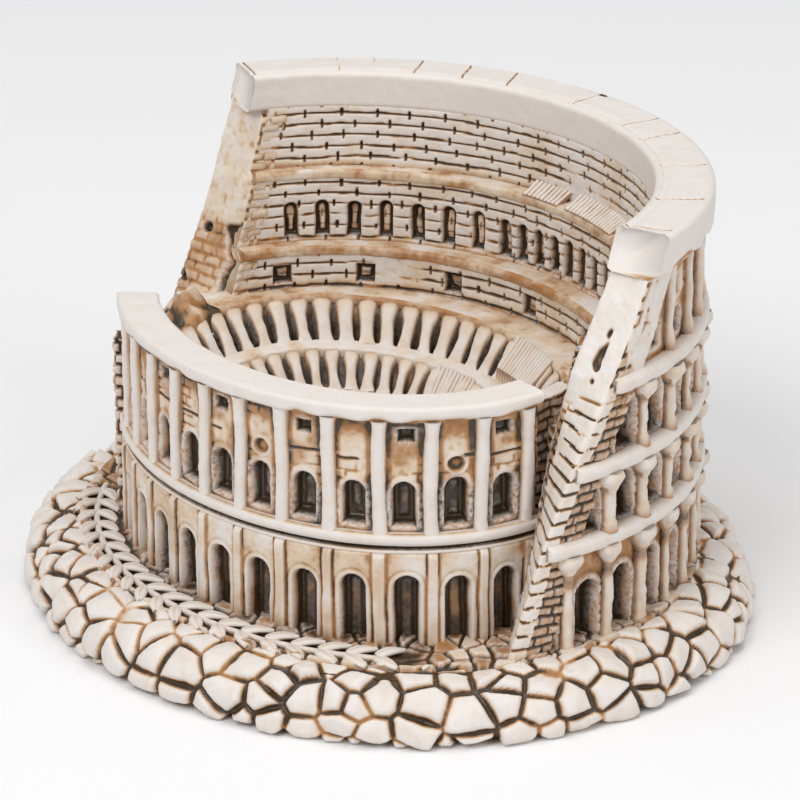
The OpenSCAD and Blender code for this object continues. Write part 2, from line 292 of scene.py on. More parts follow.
class Skin:
    """Vertices and faces of one piece, gathered from grids, with its wash marks, which also carry painted
    shade, and its rub marks.
    """

    def __init__(self):
        self.points, self.quads, self.caps, self.marks, self.count = [], [], [], [], 0

    def grid(self, p, wash=0.0, rub=0.0, round_u=False, round_v=True):
        """Adds a grid of points (u, v). Each u is one section, closed round v; the ends are capped."""
        u, v = p.shape[:2]
        index = self.count + np.arange(u * v).reshape(u, v)
        a = np.arange(u if round_u else u - 1)
        b = np.arange(v if round_v else v - 1)
        a1, b1 = (a + 1) % u, (b + 1) % v
        corners = (index[a][:, b], index[a1][:, b], index[a1][:, b1], index[a][:, b1])
        quads = np.stack(corners, -1).reshape(-1, 4)
        tri = p.reshape(-1, 3)[quads - self.count]
        flux = np.einsum("ij,ij->i", tri.mean(1) - p.reshape(-1, 3).mean(0),
                         np.cross(tri[:, 2] - tri[:, 0], tri[:, 3] - tri[:, 1])).sum()
        if flux < 0:
            quads = quads[:, ::-1]
        self.quads.append(quads)
        if not round_u and round_v:
            ends = [index[0], index[-1][::-1]]
            self.caps += [list(e[::-1] if flux >= 0 else e) for e in ends]
        self.points.append(p.reshape(-1, 3))
        mark = [np.broadcast_to(m, (u, v)).reshape(-1) for m in (wash, rub)]
        self.marks.append(np.stack(mark, -1))
        self.count += u * v
        return self


WELD, SLIVER = 2e-6, 1e-7


def make_piece(name, skin, finish, slot, nodes=None, weld=False):
    """Turns a skin into a piece that stands for the given nodes, or else for the node of the same name."""
    mesh = bpy.data.meshes.new(name)
    points = np.concatenate(skin.points) * MM
    quads = np.concatenate(skin.quads)
    caps = skin.caps
    loops = np.concatenate([quads.reshape(-1)] + [np.array(c) for c in caps]).astype(np.int32)
    sizes = np.array([4] * len(quads) + [len(c) for c in caps])
    starts = np.concatenate([[0], np.cumsum(sizes)[:-1]]).astype(np.int32)
    mesh.vertices.add(len(points))
    mesh.vertices.foreach_set("co", points.reshape(-1).astype(np.float32))
    mesh.loops.add(len(loops))
    mesh.loops.foreach_set("vertex_index", loops)
    mesh.polygons.add(len(sizes))
    mesh.polygons.foreach_set("loop_start", starts)
    mesh.update(calc_edges=True)
    marks = np.concatenate(skin.marks).astype(np.float32)
    # The wash mark holds the brown wash together with painted shade at hollows and junctions; the rub mark
    # holds the worn high spots.
    for n, label in enumerate(("wash", "rub")):
        mesh.attributes.new(label, "FLOAT", "POINT").data.foreach_set("value", marks[:, n])
    if weld:
        work = bmesh.new()
        work.from_mesh(mesh)
        bmesh.ops.remove_doubles(work, verts=work.verts, dist=WELD)
        bmesh.ops.dissolve_degenerate(work, edges=work.edges, dist=SLIVER)
        work.to_mesh(mesh)
        work.free()
    mesh.validate()
    mesh.polygons.foreach_set("use_smooth", np.full(len(mesh.polygons), True))
    mesh.update()
    piece = bpy.data.objects.new(name, mesh)
    bpy.context.scene.collection.objects.link(piece)
    mesh.materials.append(resin(finish))
    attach(piece, "root")
    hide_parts(*(nodes or (name,)))
    return piece


def wall_skin(skin, outer, inner, t0, t1, z0, z1, grain, front=None, back=None, top=None,
              lean0=None, lean1=None, nose=0.25, foot_wash_and_shade=0.0):
    """A wall between two ovals. front, back and top carve its faces: each takes (s, z or depth, t, points)
    and returns how far the surface stands out, and some extra wash, which in places holds painted shade too."""
    fade = 0.5
    s0, s1 = outer.s(t0), outer.s(t1)
    turns = outer.t(np.linspace(s0, s1, max(4, int((s1 - s0) / grain))))
    thick = np.linalg.norm(outer.at(t0) - inner.at(t0))
    rows = {
        "front": np.linspace(z0, z1, max(3, int((z1 - z0) / grain) if front else 3)),
        "top": np.linspace(nose + 0.1, thick - nose - 0.1, max(3, int(thick / grain) if top else 3)) / thick,
        "back": np.linspace(z1, z0, max(3, int((z1 - z0) / grain) if back else 3)),
    }
    blocks, washes, rubs = [], [], []
    for side, carve in (("front", front), ("top", top), ("back", back)):
        r = rows[side]
        u = {"front": r * 0, "top": r, "back": r * 0 + 1}[side]
        z = r * 0 + z1 if side == "top" else r
        t = np.broadcast_to(turns[:, None], (len(turns), len(r))).copy()
        if lean0:
            t = np.maximum(t, lean0(z)[None, :])
        if lean1:
            t = np.minimum(t, lean1(z)[None, :])
        flat = outer.at(t) * (1 - u[None, :, None]) + inner.at(t) * u[None, :, None]
        p = np.concatenate([flat, np.broadcast_to(z[None, :, None], t.shape + (1,))], -1)
        rule = outer if side != "back" else inner
        h, wash, rub = np.zeros(t.shape), np.zeros(t.shape), np.zeros(t.shape)
        extra = 0
        if carve:
            h, extra = carve(rule.s(t), np.broadcast_to(r * (thick if side == "top" else 1), t.shape), t, p)
            wash, rub = wash_of(h, grain)
            ends = np.minimum(r - r[0], r[-1] - r) * thick if side == "top" else z1 - z
            h = h * np.clip(ends / fade, 0, 1)[None, :]
        wash = wash + extra
        foot = z - z0 + (FAR if foot_wash_and_shade else 0)
        for d in (u * thick, thick - u * thick) if side == "top" else (z1 - z, foot):
            d = np.clip(d, 0, nose)
            h = h - (nose - np.sqrt(np.clip(nose**2 - (nose - d) ** 2, 0, None)))[None, :]
        # Pooled wash and painted shade darken the foot of the wall, where it meets the part below.
        if foot_wash_and_shade and side != "top":
            wash = wash + foot_wash_and_shade * np.exp(-(z - z0) / 0.7)[None, :]
        if side == "top":
            p[..., 2] += h
        else:
            way = outer.out(t) if side == "front" else -inner.out(t)
            p[..., :2] += way * h[..., None]
        blocks.append(p)
        washes.append(wash)
        rubs.append(rub)
    skin.grid(np.concatenate(blocks, 1), np.concatenate(washes, 1), np.concatenate(rubs, 1))
    return skin


def bar(skin, base, along, across, up, length, section, wash, rub, seed, uneven, steps, bend=None):
    """A solid bar: section(k) gives the (across, up) outline at k from 0 to 1 along its length."""
    k = np.linspace(0, 1, steps)
    ring = np.stack([section(x) for x in k])
    base, along, across, up = (np.asarray(v, float) for v in (base, along, across, up))
    p = base + along * (k * length)[:, None, None] + ring[..., :1] * across + ring[..., 1:2] * up
    if bend is not None:
        p = p + bend(k)[:, None, :]
    middle = p.mean(1, keepdims=True)
    way = p - middle
    way /= np.linalg.norm(way, axis=-1, keepdims=True) + 1e-9
    p = p + way * (uneven * rough(p, 1.3, seed))[..., None]
    skin.grid(p, wash(k, ring), rub)


def facing(oval, t):
    """The way out of a wall at an angle, and the way along it."""
    out = np.append(oval.out(t), 0)
    return out, np.array([-out[1], out[0], 0])


def spoke(outer, inner, t):
    """A bar that crosses between two ovals: its start, its length, its way in and its way across."""
    a, b = outer.at(t), inner.at(t)
    length = float(np.linalg.norm(b - a))
    way = np.append((b - a) / length, 0)
    return a, length, way, np.array([-way[1], way[0], 0])


def bell(x, width):
    """A swelling that is 1 at 0 and dies away over width."""
    return np.exp(-((x / width) ** 2))


def outline(width, height, power=3.0, sides=16):
    """A rounded outline about its own centre."""
    a = np.linspace(0, 2 * math.pi, sides, endpoint=False)
    c, s = np.cos(a), np.sin(a)
    return np.stack([np.sign(c) * np.abs(c) ** (2 / power) * width / 2,
                     np.sign(s) * np.abs(s) ** (2 / power) * height / 2], -1)


# ---------------------------------------------------------------- finishes


def colour(value):
    return (*value, 1.0)


def antique_group():
    """Shared finish: pale resin, brown wash in the hollows, and high spots rubbed clean. The Wash input also
    carries painted shade, which is split into the same tones.
    """
    name = "Antique Wash"
    if name in bpy.data.node_groups:
        return bpy.data.node_groups[name]
    group = bpy.data.node_groups.new(name, "ShaderNodeTree")
    face = group.interface
    for label, kind, value in (
        ("Wash", "NodeSocketFloat", 0.0), ("Rub", "NodeSocketFloat", 0.0), ("Amount", "NodeSocketFloat", 1.0),
        ("Dirt", "NodeSocketFloat", 0.0), ("Blotch", "NodeSocketFloat", 0.5),
        ("Pale", "NodeSocketColor", (0.8, 0.77, 0.73, 1)),
        ("Cream", "NodeSocketColor", (0.7, 0.6, 0.48, 1)),
        ("Ochre", "NodeSocketColor", (0.45, 0.27, 0.13, 1)),
        ("Umber", "NodeSocketColor", (0.05, 0.032, 0.02, 1)),
    ):
        face.new_socket(label, in_out="INPUT", socket_type=kind).default_value = value
    for label, kind in (("Color", "NodeSocketColor"), ("Roughness", "NodeSocketFloat"),
                        ("Height", "NodeSocketFloat")):
        face.new_socket(label, in_out="OUTPUT", socket_type=kind)
    make, link = group.nodes.new, group.links.new
    inp, out = make("NodeGroupInput"), make("NodeGroupOutput")

    place = make("ShaderNodeTexCoord").outputs["Object"]
    scale = make("ShaderNodeVectorMath")
    scale.operation = "SCALE"
    scale.inputs["Scale"].default_value = 1 / MM
    link(place, scale.inputs[0])

    def noise(size, detail=3.0, roughness=0.55):
        node = make("ShaderNodeTexNoise")
        node.inputs["Scale"].default_value = 1 / size
        node.inputs["Detail"].default_value = detail
        node.inputs["Roughness"].default_value = roughness
        link(scale.outputs[0], node.inputs["Vector"])
        return node.outputs["Fac"]

    def maths(kind, a, b, c=None, clamp=False):
        node = make("ShaderNodeMath")
        node.operation, node.use_clamp = kind, clamp
        for n, v in enumerate((a, b, c)):
            if v is None:
                continue
            if isinstance(v, (int, float)):
                node.inputs[n].default_value = v
            else:
                link(v, node.inputs[n])
        return node.outputs[0]

    def mix(fac, a, b):
        node = make("ShaderNodeMix")
        node.data_type, node.clamp_factor = "RGBA", True
        for n, v in ((0, fac), (6, a), (7, b)):
            link(v, node.inputs[n])
        return node.outputs[2]

    def between(value, low, high):
        node = make("ShaderNodeMapRange")
        node.interpolation_type = "SMOOTHSTEP"
        node.inputs["From Min"].default_value = low
        node.inputs["From Max"].default_value = high
        link(value, node.inputs["Value"])
        return node.outputs["Result"]

    patch, mottle, grain, speck = noise(9.0), noise(2.2, 4), noise(0.55, 4, 0.65), noise(0.22, 2)
    # The wash runs unevenly, so noise at three sizes pushes its edge about before it is split into tones.
    drift = maths("ADD", maths("MULTIPLY_ADD", mottle, 0.9, -0.45), maths("MULTIPLY_ADD", grain, 0.5, -0.25))
    spread = maths("MULTIPLY_ADD", patch, 0.8, 0.6)
    wet = maths("MULTIPLY", maths("MULTIPLY", inp.outputs["Wash"], inp.outputs["Amount"]), spread)
    wet = maths("MULTIPLY_ADD", drift, maths("MULTIPLY_ADD", wet, 0.5, 0.12, clamp=True), wet)
    wet = maths("ADD", wet, maths("MULTIPLY", inp.outputs["Dirt"], maths("ADD", mottle, 0.5)))
    tint = mix(maths("MULTIPLY", inp.outputs["Blotch"], between(mottle, 0.42, 0.72)),
               inp.outputs["Pale"], inp.outputs["Cream"])
    tone = mix(between(wet, 0.05, 0.24), tint, inp.outputs["Cream"])
    tone = mix(between(wet, 0.18, 0.48), tone, inp.outputs["Ochre"])
    tone = mix(between(wet, 0.5, 0.95), tone, inp.outputs["Umber"])
    clean = maths("MULTIPLY", inp.outputs["Rub"], between(grain, 0.3, 0.6))
    tone = mix(maths("MULTIPLY", clean, 0.75), tone, inp.outputs["Pale"])
    link(tone, out.inputs["Color"])
    shine = maths("MULTIPLY_ADD", wet, -0.16, maths("MULTIPLY_ADD", speck, 0.22, 0.48), clamp=True)
    link(shine, out.inputs["Roughness"])
    link(maths("MULTIPLY_ADD", grain, 0.7, maths("MULTIPLY", speck, 0.3)), out.inputs["Height"])
    return group


def resin(name):
    """One of the resin finishes, made from the shared antique wash."""
    if name in bpy.data.materials:
        return bpy.data.materials[name]
    amount, dirt, blotch = FINISHES[name]
    look_ = look()
    material = bpy.data.materials.new(name)
    material.use_nodes = True
    nodes, link = material.node_tree.nodes, material.node_tree.links.new
    shader = nodes["Principled BSDF"]
    wash = nodes.new("ShaderNodeGroup")
    wash.node_tree = antique_group()
    for label, value in (("Amount", amount * look_.wash), ("Dirt", dirt), ("Blotch", blotch),
                         ("Pale", colour(look_.pale)), ("Cream", colour(look_.cream)),
                         ("Ochre", colour(look_.ochre)), ("Umber", colour(look_.umber))):
        wash.inputs[label].default_value = value
    for label in ("wash", "rub"):
        mark = nodes.new("ShaderNodeAttribute")
        mark.attribute_name = label
        link(mark.outputs["Fac"], wash.inputs[label.title()])
    bumps = nodes.new("ShaderNodeBump")
    bumps.inputs["Distance"].default_value = 0.12 * MM
    bumps.inputs["Strength"].default_value = 0.35
    link(wash.outputs["Color"], shader.inputs["Base Color"])
    link(wash.outputs["Roughness"], shader.inputs["Roughness"])
    link(wash.outputs["Height"], bumps.inputs["Height"])
    link(bumps.outputs["Normal"], shader.inputs["Normal"])
    shader.inputs["IOR"].default_value = 1.5
    return material


def felt():
    """Pressed felt: a dark green with matted fibres."""
    material = bpy.data.materials.new("Felt")
    material.use_nodes = True
    nodes, link = material.node_tree.nodes, material.node_tree.links.new
    shader = nodes["Principled BSDF"]
    place = nodes.new("ShaderNodeTexCoord")
    fibre = nodes.new("ShaderNodeTexNoise")
    fibre.inputs["Scale"].default_value = 1.6 / MM
    fibre.inputs["Detail"].default_value = 6
    link(place.outputs["Object"], fibre.inputs["Vector"])
    tone = nodes.new("ShaderNodeMix")
    tone.data_type = "RGBA"
    tone.inputs[6].default_value = (0.02, 0.05, 0.03, 1)
    tone.inputs[7].default_value = (0.09, 0.15, 0.1, 1)
    link(fibre.outputs["Fac"], tone.inputs[0])
    bumps = nodes.new("ShaderNodeBump")
    bumps.inputs["Distance"].default_value = 0.3 * MM
    link(fibre.outputs["Fac"], bumps.inputs["Height"])
    link(tone.outputs[2], shader.inputs["Base Color"])
    link(bumps.outputs["Normal"], shader.inputs["Normal"])
    shader.inputs["Roughness"].default_value = 0.95
    shader.inputs["Sheen Weight"].default_value = 0.4
    return material


class MiniatureLook(PropertyGroup):
    """Sizes and colours that a maker would change."""

    grain: FloatProperty(name="Carving grain", description="Spacing of the carved grids, in millimetres",
                         default=0.2, min=0.12, max=0.6)
    stone: FloatProperty(name="Stone size", description="Width of a cobble on the plinth, in millimetres",
                         default=4.9, min=3, max=9)
    brick: FloatProperty(name="Brick length", description="Length of a brick inside, in millimetres",
                         default=4.4, min=2, max=7)
    course: FloatProperty(name="Brick course", description="Height of a brick course, in millimetres",
                          default=1.45, min=1, max=3)
    bay: FloatProperty(name="Bay", description="Distance between the tall wall's columns, in millimetres",
                       default=5.95, min=4, max=8)
    front_bay: FloatProperty(name="Front bay", default=6.1, min=4, max=8,
                             description="Distance between the front wall's pilasters, in millimetres")
    wash: FloatProperty(name="Wash", description="Strength of the brown wash", default=1.0, min=0, max=2,
                        subtype="FACTOR")
    seed: IntProperty(name="Seed", description="Changes the hand-made unevenness", default=7, min=0)
    pale: FloatVectorProperty(name="Pale resin", description="Colour of the rubbed surfaces", subtype="COLOR",
                              default=(0.74, 0.69, 0.65), size=3, min=0, max=1)
    cream: FloatVectorProperty(name="Cream", description="Thin wash over the resin", subtype="COLOR",
                               default=(0.68, 0.535, 0.385), size=3, min=0, max=1)
    ochre: FloatVectorProperty(name="Ochre", description="Wash round the hollows", subtype="COLOR",
                               default=(0.40, 0.19, 0.065), size=3, min=0, max=1)
    umber: FloatVectorProperty(name="Umber", description="Wash in the deepest hollows", subtype="COLOR",
                               default=(0.05, 0.031, 0.015), size=3, min=0, max=1)


def look():
    return bpy.context.scene.miniature_look


# ---------------------------------------------------------------- plinth


UNDERCUT, WIDEST, RIM_REACH, RIM_TOP = 20, 1.0, 6, GROUND + 0.65


def rim_profile(q):
    """Inset from the rim and height at angle q round the plinth's rounded edge, from -UNDERCUT to 90."""
    q = np.radians(q)
    rise = np.where(q < 0, WIDEST / np.sin(np.radians(UNDERCUT)), RIM_TOP - WIDEST)
    return RIM_REACH * (1 - np.cos(q)), WIDEST + rise * np.sin(q)


def round_grid(oval, inset, height, grain):
    """Points of a skin that goes right round an oval: each row has an inset and a height."""
    run = oval.s(360) - oval.s(0)
    around = int(run / grain)
    t = oval.t(np.linspace(oval.s(0), oval.s(360), around, endpoint=False))
    flat = oval.at(t)[:, None] - oval.out(t)[:, None] * inset[None, :, None]
    p = np.concatenate([flat, np.broadcast_to(height[None, :, None], flat.shape[:2] + (1,))], -1)
    return p, t, oval.s(t), run


def surface_way(p):
    """Unit normals of a grid of points that goes round in its first direction."""
    du = np.roll(p, -1, 0) - np.roll(p, 1, 0)
    dv = np.gradient(p, axis=1)
    n = np.cross(du, dv)
    return n / (np.linalg.norm(n, axis=-1, keepdims=True) + 1e-12)


def close_round(p, wash, rub, oval, inset, height, grain):
    """A skin from a carved grid that goes right round, closed through plain rows at the given insets."""
    core, *_ = round_grid(oval, np.array(inset), np.array(height), grain)
    wash = np.pad(wash, ((0, 0), (0, len(inset))), constant_values=1.0)
    rub = np.pad(rub, ((0, 0), (0, len(inset))))
    return Skin().grid(np.concatenate([p, core], 1), wash, rub, round_u=True)


class MINIATURE_OT_cobbles(Operator):
    """Carve the fitted stones of the plinth's rounded side"""

    bl_idname = "miniature.cobbles"
    bl_label = "Cobbled side"

    def execute(self, context):
        look_ = look()
        grain = look_.grain * 1.15
        inset, height = rim_profile(np.linspace(-UNDERCUT, 90, 400))
        inset, height = np.append(inset, (6.8, 7.8)), np.append(height, (RIM_TOP, RIM_TOP - 0.1))
        length = np.concatenate([[0], np.cumsum(np.hypot(np.diff(inset), np.diff(height)))])
        v = np.linspace(0, length[-1], int(length[-1] / grain))
        p, t, s, run = round_grid(RIM, np.interp(v, length, inset), np.interp(v, length, height), grain)
        s, v = np.broadcast_to(s[:, None], p.shape[:2]), np.broadcast_to(v[None, :], p.shape[:2])
        count = round(run / look_.stone)
        up = v + 0.9 + 0.6 * lumps(p, 7, 3)
        joint, own, x, y = stones(s, up, run / count, 3.7, look_.seed, 0.95, count)
        # Each stone leans its own way, falls off on both sides of a ridge and stands a little high or low.
        gap = np.clip(0.17 + 0.22 * lumps(p, 3.5, 5) + 0.05 * rough(p, 1, 6), 0.02, 0.5)
        body = ramp(-0.12, 0.62, joint - gap) ** 0.8
        shoulder = ramp(8.2, 10.0, v)
        tilt = (own[0] - 0.5) * 0.3 * x + (own[1] - 0.5) * 0.34 * y
        facet = -0.2 * np.clip(np.abs(x * np.cos(own[2] * 6) + y * np.sin(own[2] * 6)) - 0.5, 0, None)
        deep = np.clip(0.75 + 1.6 * gap, 0, 1.3) * (1 - 0.5 * shoulder)
        stone = 0.5 * (own[3] - 0.5) + (tilt + facet) * (1 - 0.4 * shoulder)
        h = (body - 1) * deep + body * stone + 0.1 * rough(p, 1.6, 9) + 0.05 * rough(p, 0.6, 12, 2)
        h -= 0.35 * ramp(0.9, 0, v) * ramp(0.2, 0.8, own[1])
        way = surface_way(p)
        way = way * np.sign((way[..., :2] * RIM.out(t)[:, None]).sum(-1).mean())
        wash, rub = wash_of(h, grain)
        wash = wash * 0.5 + 0.85 * ramp(0.16, -0.04, joint - gap) * ramp(0.05, 0.2, gap)
        wash = wash + 0.2 * ramp(0.42, 0.1, joint - gap)
        p = p + way * h[..., None]
        p[..., 2] = np.maximum(p[..., 2], 0.05)
        skin = close_round(p, wash, rub, RIM, (8.0, 8.0, 3.6), (GROUND - 0.2, 0.3, 0.1), grain)
        make_piece("cobbled_side", skin, "Cobbles", "ivory_resin",
                   ("cobbles_bottom", "cobbles_middle", "cobbles_top"))
        return {"FINISHED"}


class MINIATURE_OT_paving(Operator):
    """Carve the plinth's top, with its flags and the sunk bed of the leaf border"""

    bl_idname = "miniature.paving"
    bl_label = "Paving and bed"

    def execute(self, context):
        look_ = look()
        grain = look_.grain * 1.25
        first, last = 7.0, 17.0
        inset = np.linspace(first, last, int((last - first) / grain))
        height = GROUND + 0.6 - 0.25 * ramp(7.4, 8.6, inset)
        p, t, s, run = round_grid(RIM, inset, height, grain)
        s = np.broadcast_to(s[:, None], p.shape[:2])
        v = np.broadcast_to(inset[None, :], p.shape[:2])
        count = round(run / 4.3)
        joint, own, _, y = stones(s + 0.8 * lumps(p, 5, 21), v, run / count, 2.9, look_.seed + 3, 0.9, count)
        # The bed of the leaf border is a smooth stained band, with crumbs of stone along its inner side.
        turn = np.broadcast_to(((t + 180) % 360 - 180)[:, None], p.shape[:2])
        band = ramp(-134, -128, turn) * ramp(-20, -27, turn) * ramp(7.6, 8.4, v + 0.5 * lumps(p, 2.5, 24))
        crumbs = ramp(11.6, 12.6, v + 0.5 * lumps(p, 2.2, 27)) * band
        band = band * (1 - crumbs)
        body = ramp(-0.1, 0.4, joint - 0.16 - 0.1 * lumps(p, 3, 22))
        rim = ramp(0.75, 0.35, joint)
        flags = body * (0.5 + 0.35 * (own[0] - 0.5) + 0.24 * (own[1] - 0.5) * y + 0.12 * rim)
        h = flags * (1 - band) + 0.12 * rough(p, 2.4, 25) * band + 0.09 * rough(p, 0.9, 26) - 0.22
        h = h + crumbs * 0.3 * np.abs(rough(p, 1.5, 28))
        wash, rub = wash_of(h, grain)
        stain = 0.55 * (1 - body) + 0.4 * body * (1 - rim) * ramp(0.1, 0.7, own[2]) + 0.12
        wash = wash * 0.7 + stain * (1 - band)
        wash = wash + 0.8 * band + 0.25 * crumbs
        p[..., 2] = np.maximum(p[..., 2] + h, GROUND + 0.05)
        skin = close_round(p, wash, rub, RIM, (last, first + 0.2), (GROUND - 1.6, GROUND - 1.6), grain)
        make_piece("paving", skin, "Paving", "ivory_resin", ("paving_flags",))
        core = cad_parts["plinth_core"]
        core.data.materials.clear()
        core.data.materials.append(resin("Bed"))
        return {"FINISHED"}


class MINIATURE_OT_leaf_border(Operator):
    """Lay a garland of raised leaves and berries in its bed, in front of the low wall"""

    bl_idname = "miniature.leaf_border"
    bl_label = "Leaf border"

    def execute(self, context):
        path = Oval(40.6, 34.0, np.array([-0.3, -0.4]))
        skin = Skin()
        base = GROUND + 0.05
        first, last, pairs = -127, -31, 20
        for n, t in enumerate(path.t(np.linspace(path.s(first), path.s(last), pairs))):
            for side in (-1, 1):
                self.leaf(skin, path, t, side, base, 3 * n + side)
            if n % 3 == 1:
                for side in (-1, 1):
                    self.berry(skin, path.at(t + 1.6) + path.out(t) * side * 1.9, base, 2 * n + side)
        self.stem(skin, path, first - 3, last + 2, base)
        make_piece("leaf_border", skin, "Leaves", "cream_resin", ("laurel_band",))
        return {"FINISHED"}

    def stem(self, skin, path, first, last, base, thick=0.84, steps=260):
        line = path.at(path.t(np.linspace(path.s(first), path.s(last), steps)))
        line = np.concatenate([line, np.full((steps, 1), base + 0.3)], 1)
        way = np.gradient(line, axis=0)
        way /= np.linalg.norm(way, axis=1, keepdims=True)
        side, up = np.cross(way, (0, 0, 1)), np.array([0, 0, 1])
        a = np.linspace(0, 2 * math.pi, 12, endpoint=False)
        ring = thick / 2 * (np.cos(a)[None, :, None] * side[:, None] + np.sin(a)[None, :, None] * up)
        p = line[:, None] + ring
        # The stem's lower side, against the bed, is darker: pooled wash with painted shade.
        skin.grid(p + 0.08 * rough(p, 1.1, 29)[..., None], 0.2 * (np.sin(a) < 0.1)[None, :] + 0.1, 0.3)

    def leaf(self, skin, path, t, side, base, seed):
        """One leaf, splayed off the stem to one side, with a vein down its middle."""
        out = path.out(t)
        run = np.array([-out[1], out[0]])
        lean = np.radians(44 + 8 * (chance(seed, seed=4) - 0.5)) * side
        along = np.append(run * math.cos(lean) + out * math.sin(lean), 0)
        across = np.append(-run * math.sin(lean) + out * math.cos(lean), 0)
        length = 3.7 + 0.4 * chance(seed, seed=5)
        root = np.append(path.at(t) + out * side * 0.2, base)

        def section(k):
            width = 1.5 * (math.sin(math.pi * min(1, 0.06 + 0.92 * k ** 0.85)) ** 0.6) + 0.1
            ring = outline(width, 0.9 - 0.25 * k, 2.4, 20)
            vein = bell(ring[:, 0], 0.16) * (ring[:, 1] > 0) * 0.14 * (1 - k)
            ring[:, 1] = ring[:, 1] + 0.4 - vein
            return ring

        def bend(k):
            return np.outer(0.3 * np.sin(k * math.pi), (0, 0, 1)) + np.outer(-0.5 * k * k * side, across)

        def wash(k, ring):
            # The vein holds wash; the leaf's lower half, against the bed, is darker: pooled wash with painted
            # shade.
            return 0.25 * bell(ring[..., 0], 0.12) * (ring[..., 1] > 0.3) + 0.6 * (ring[..., 1] < 0.35)

        bar(skin, root, along, across, (0, 0, 1), length, section, wash, 0.4, seed, uneven=0.06, steps=18,
            bend=bend)

    def berry(self, skin, centre, base, seed, radius=0.6):
        k = np.linspace(0.02, 0.98, 9) * math.pi
        a = np.linspace(0, 2 * math.pi, 16, endpoint=False)
        wide = radius * np.sin(k)[:, None]
        height = np.broadcast_to(base + 0.45 - 0.5 * np.cos(k)[:, None], (len(k), len(a)))
        p = np.stack([centre[0] + wide * np.cos(a), centre[1] + wide * np.sin(a), height], -1)
        # The berry's lower half, against the bed, is darker: pooled wash with painted shade.
        skin.grid(p + 0.05 * rough(p, 0.9, seed)[..., None], 0.5 * (k < 1.3)[:, None], 0.3)


# ---------------------------------------------------------------- front wall


def front_bays():
    """Angles of the front wall's pilasters."""
    return LOW.bays(-109.6, look().front_bay, 10)


def bay_place(s, oval, bays):
    """Distance from the middle of the nearest bay, and the bay's number."""
    edges = oval.s(bays)
    pitch = np.mean(np.diff(edges))
    n = np.floor((s - edges[0]) / pitch)
    return s - edges[0] - (n + 0.5) * pitch, n


class MINIATURE_OT_front_lower(Operator):
    """Carve the front wall's lower storey: round-headed niches between flat piers"""

    bl_idname = "miniature.front_lower"
    bl_label = "Front wall, lower storey"

    def execute(self, context):
        z0, z1 = levels("front_arcade_lower")
        bays = front_bays()

        def carve(s, z, t, p):
            x, n = bay_place(s, LOW, bays)
            x = x + 0.12 * lumps(p, 4, 31) + 0.25 * (chance(n, seed=32) - 0.5)
            height = 9.1 + 0.5 * (chance(n, seed=33) - 0.5)
            niche = opening(x, z - z0 + 0.4 + 0.1 * lumps(p, 2, 34), 3.1, height)
            back = 0.75 + 0.35 * lumps(p, 2.6, 35)
            h = -2.0 * ramp(0.12, -0.42, niche) + 0.3 * back * ramp(-0.5, -1.3, niche)
            h = h - 0.1 * ramp(0.3, 0.0, np.abs(niche - 0.62) - 0.05)
            # A groove parts each niche's panel from the raised pier beside it.
            edge = np.abs(np.abs(x) - 2.35)
            h = h - 0.26 * ramp(0.17, 0.04, edge) * ramp(-0.2, 0.3, lumps(p, 3.5, 36) + 0.35)
            h = h + 0.3 * ramp(2.2, 2.5, np.abs(x)) + 0.07 * rough(p, 1.4, 37) + 0.03 * rough(p, 0.5, 38, 2)
            # Wash fills each niche; low in it, near the ground, pooled wash and painted shade make it darker
            # still.
            stain = 0.42 * ramp(0.1, -0.4, niche) + 0.3 * ramp(0, -1, niche) * ramp(4, 0, z - z0)
            stain = stain + 0.3 * ramp(0.2, 0.05, edge) + 0.12 + 0.16 * lumps(p, 3, 39)
            return h, stain - 0.1 * ramp(-0.7, -1.3, niche) * ramp(3, 6, z - z0)

        skin = wall_skin(Skin(), LOW, LOW_INNER, FRONT_LEFT, FRONT_RIGHT, GROUND, z1 + 0.1,
                         look().grain * 0.85, front=carve, foot_wash_and_shade=0.55)
        make_piece("front_arcade_lower", skin, "Walls", "ivory_resin",
                   ("front_arcade_lower", "front_piers"))
        return {"FINISHED"}


class MINIATURE_OT_front_string(Operator):
    """Run the moulding and the dark groove between the front wall's storeys"""

    bl_idname = "miniature.front_string"
    bl_label = "Front string course"

    def execute(self, context):
        z0, z1 = levels("front_string_course")
        groove = z0 + 0.75

        def carve(s, z, t, p):
            wave = 0.06 * lumps(p, 9, 41)
            cut = np.abs(z - groove - wave)
            h = -0.75 * ramp(0.3, 0.12, cut) + 0.28 * ramp(groove + 0.3, groove + 0.8, z)
            h = h - 0.35 * ramp(z1 - 0.5, z1, z) + 0.05 * rough(p, 1.6, 42) + 0.02 * rough(p, 0.5, 43, 2)
            return h, 0.95 * ramp(0.32, 0.15, cut)

        skin = wall_skin(Skin(), LOW.inset(0.05), LOW_INNER, FRONT_LEFT, FRONT_RIGHT, z0, z1,
                         look().grain * 0.7, front=carve)
        make_piece("front_string_course", skin, "Trim", "cream_resin")
        return {"FINISHED"}


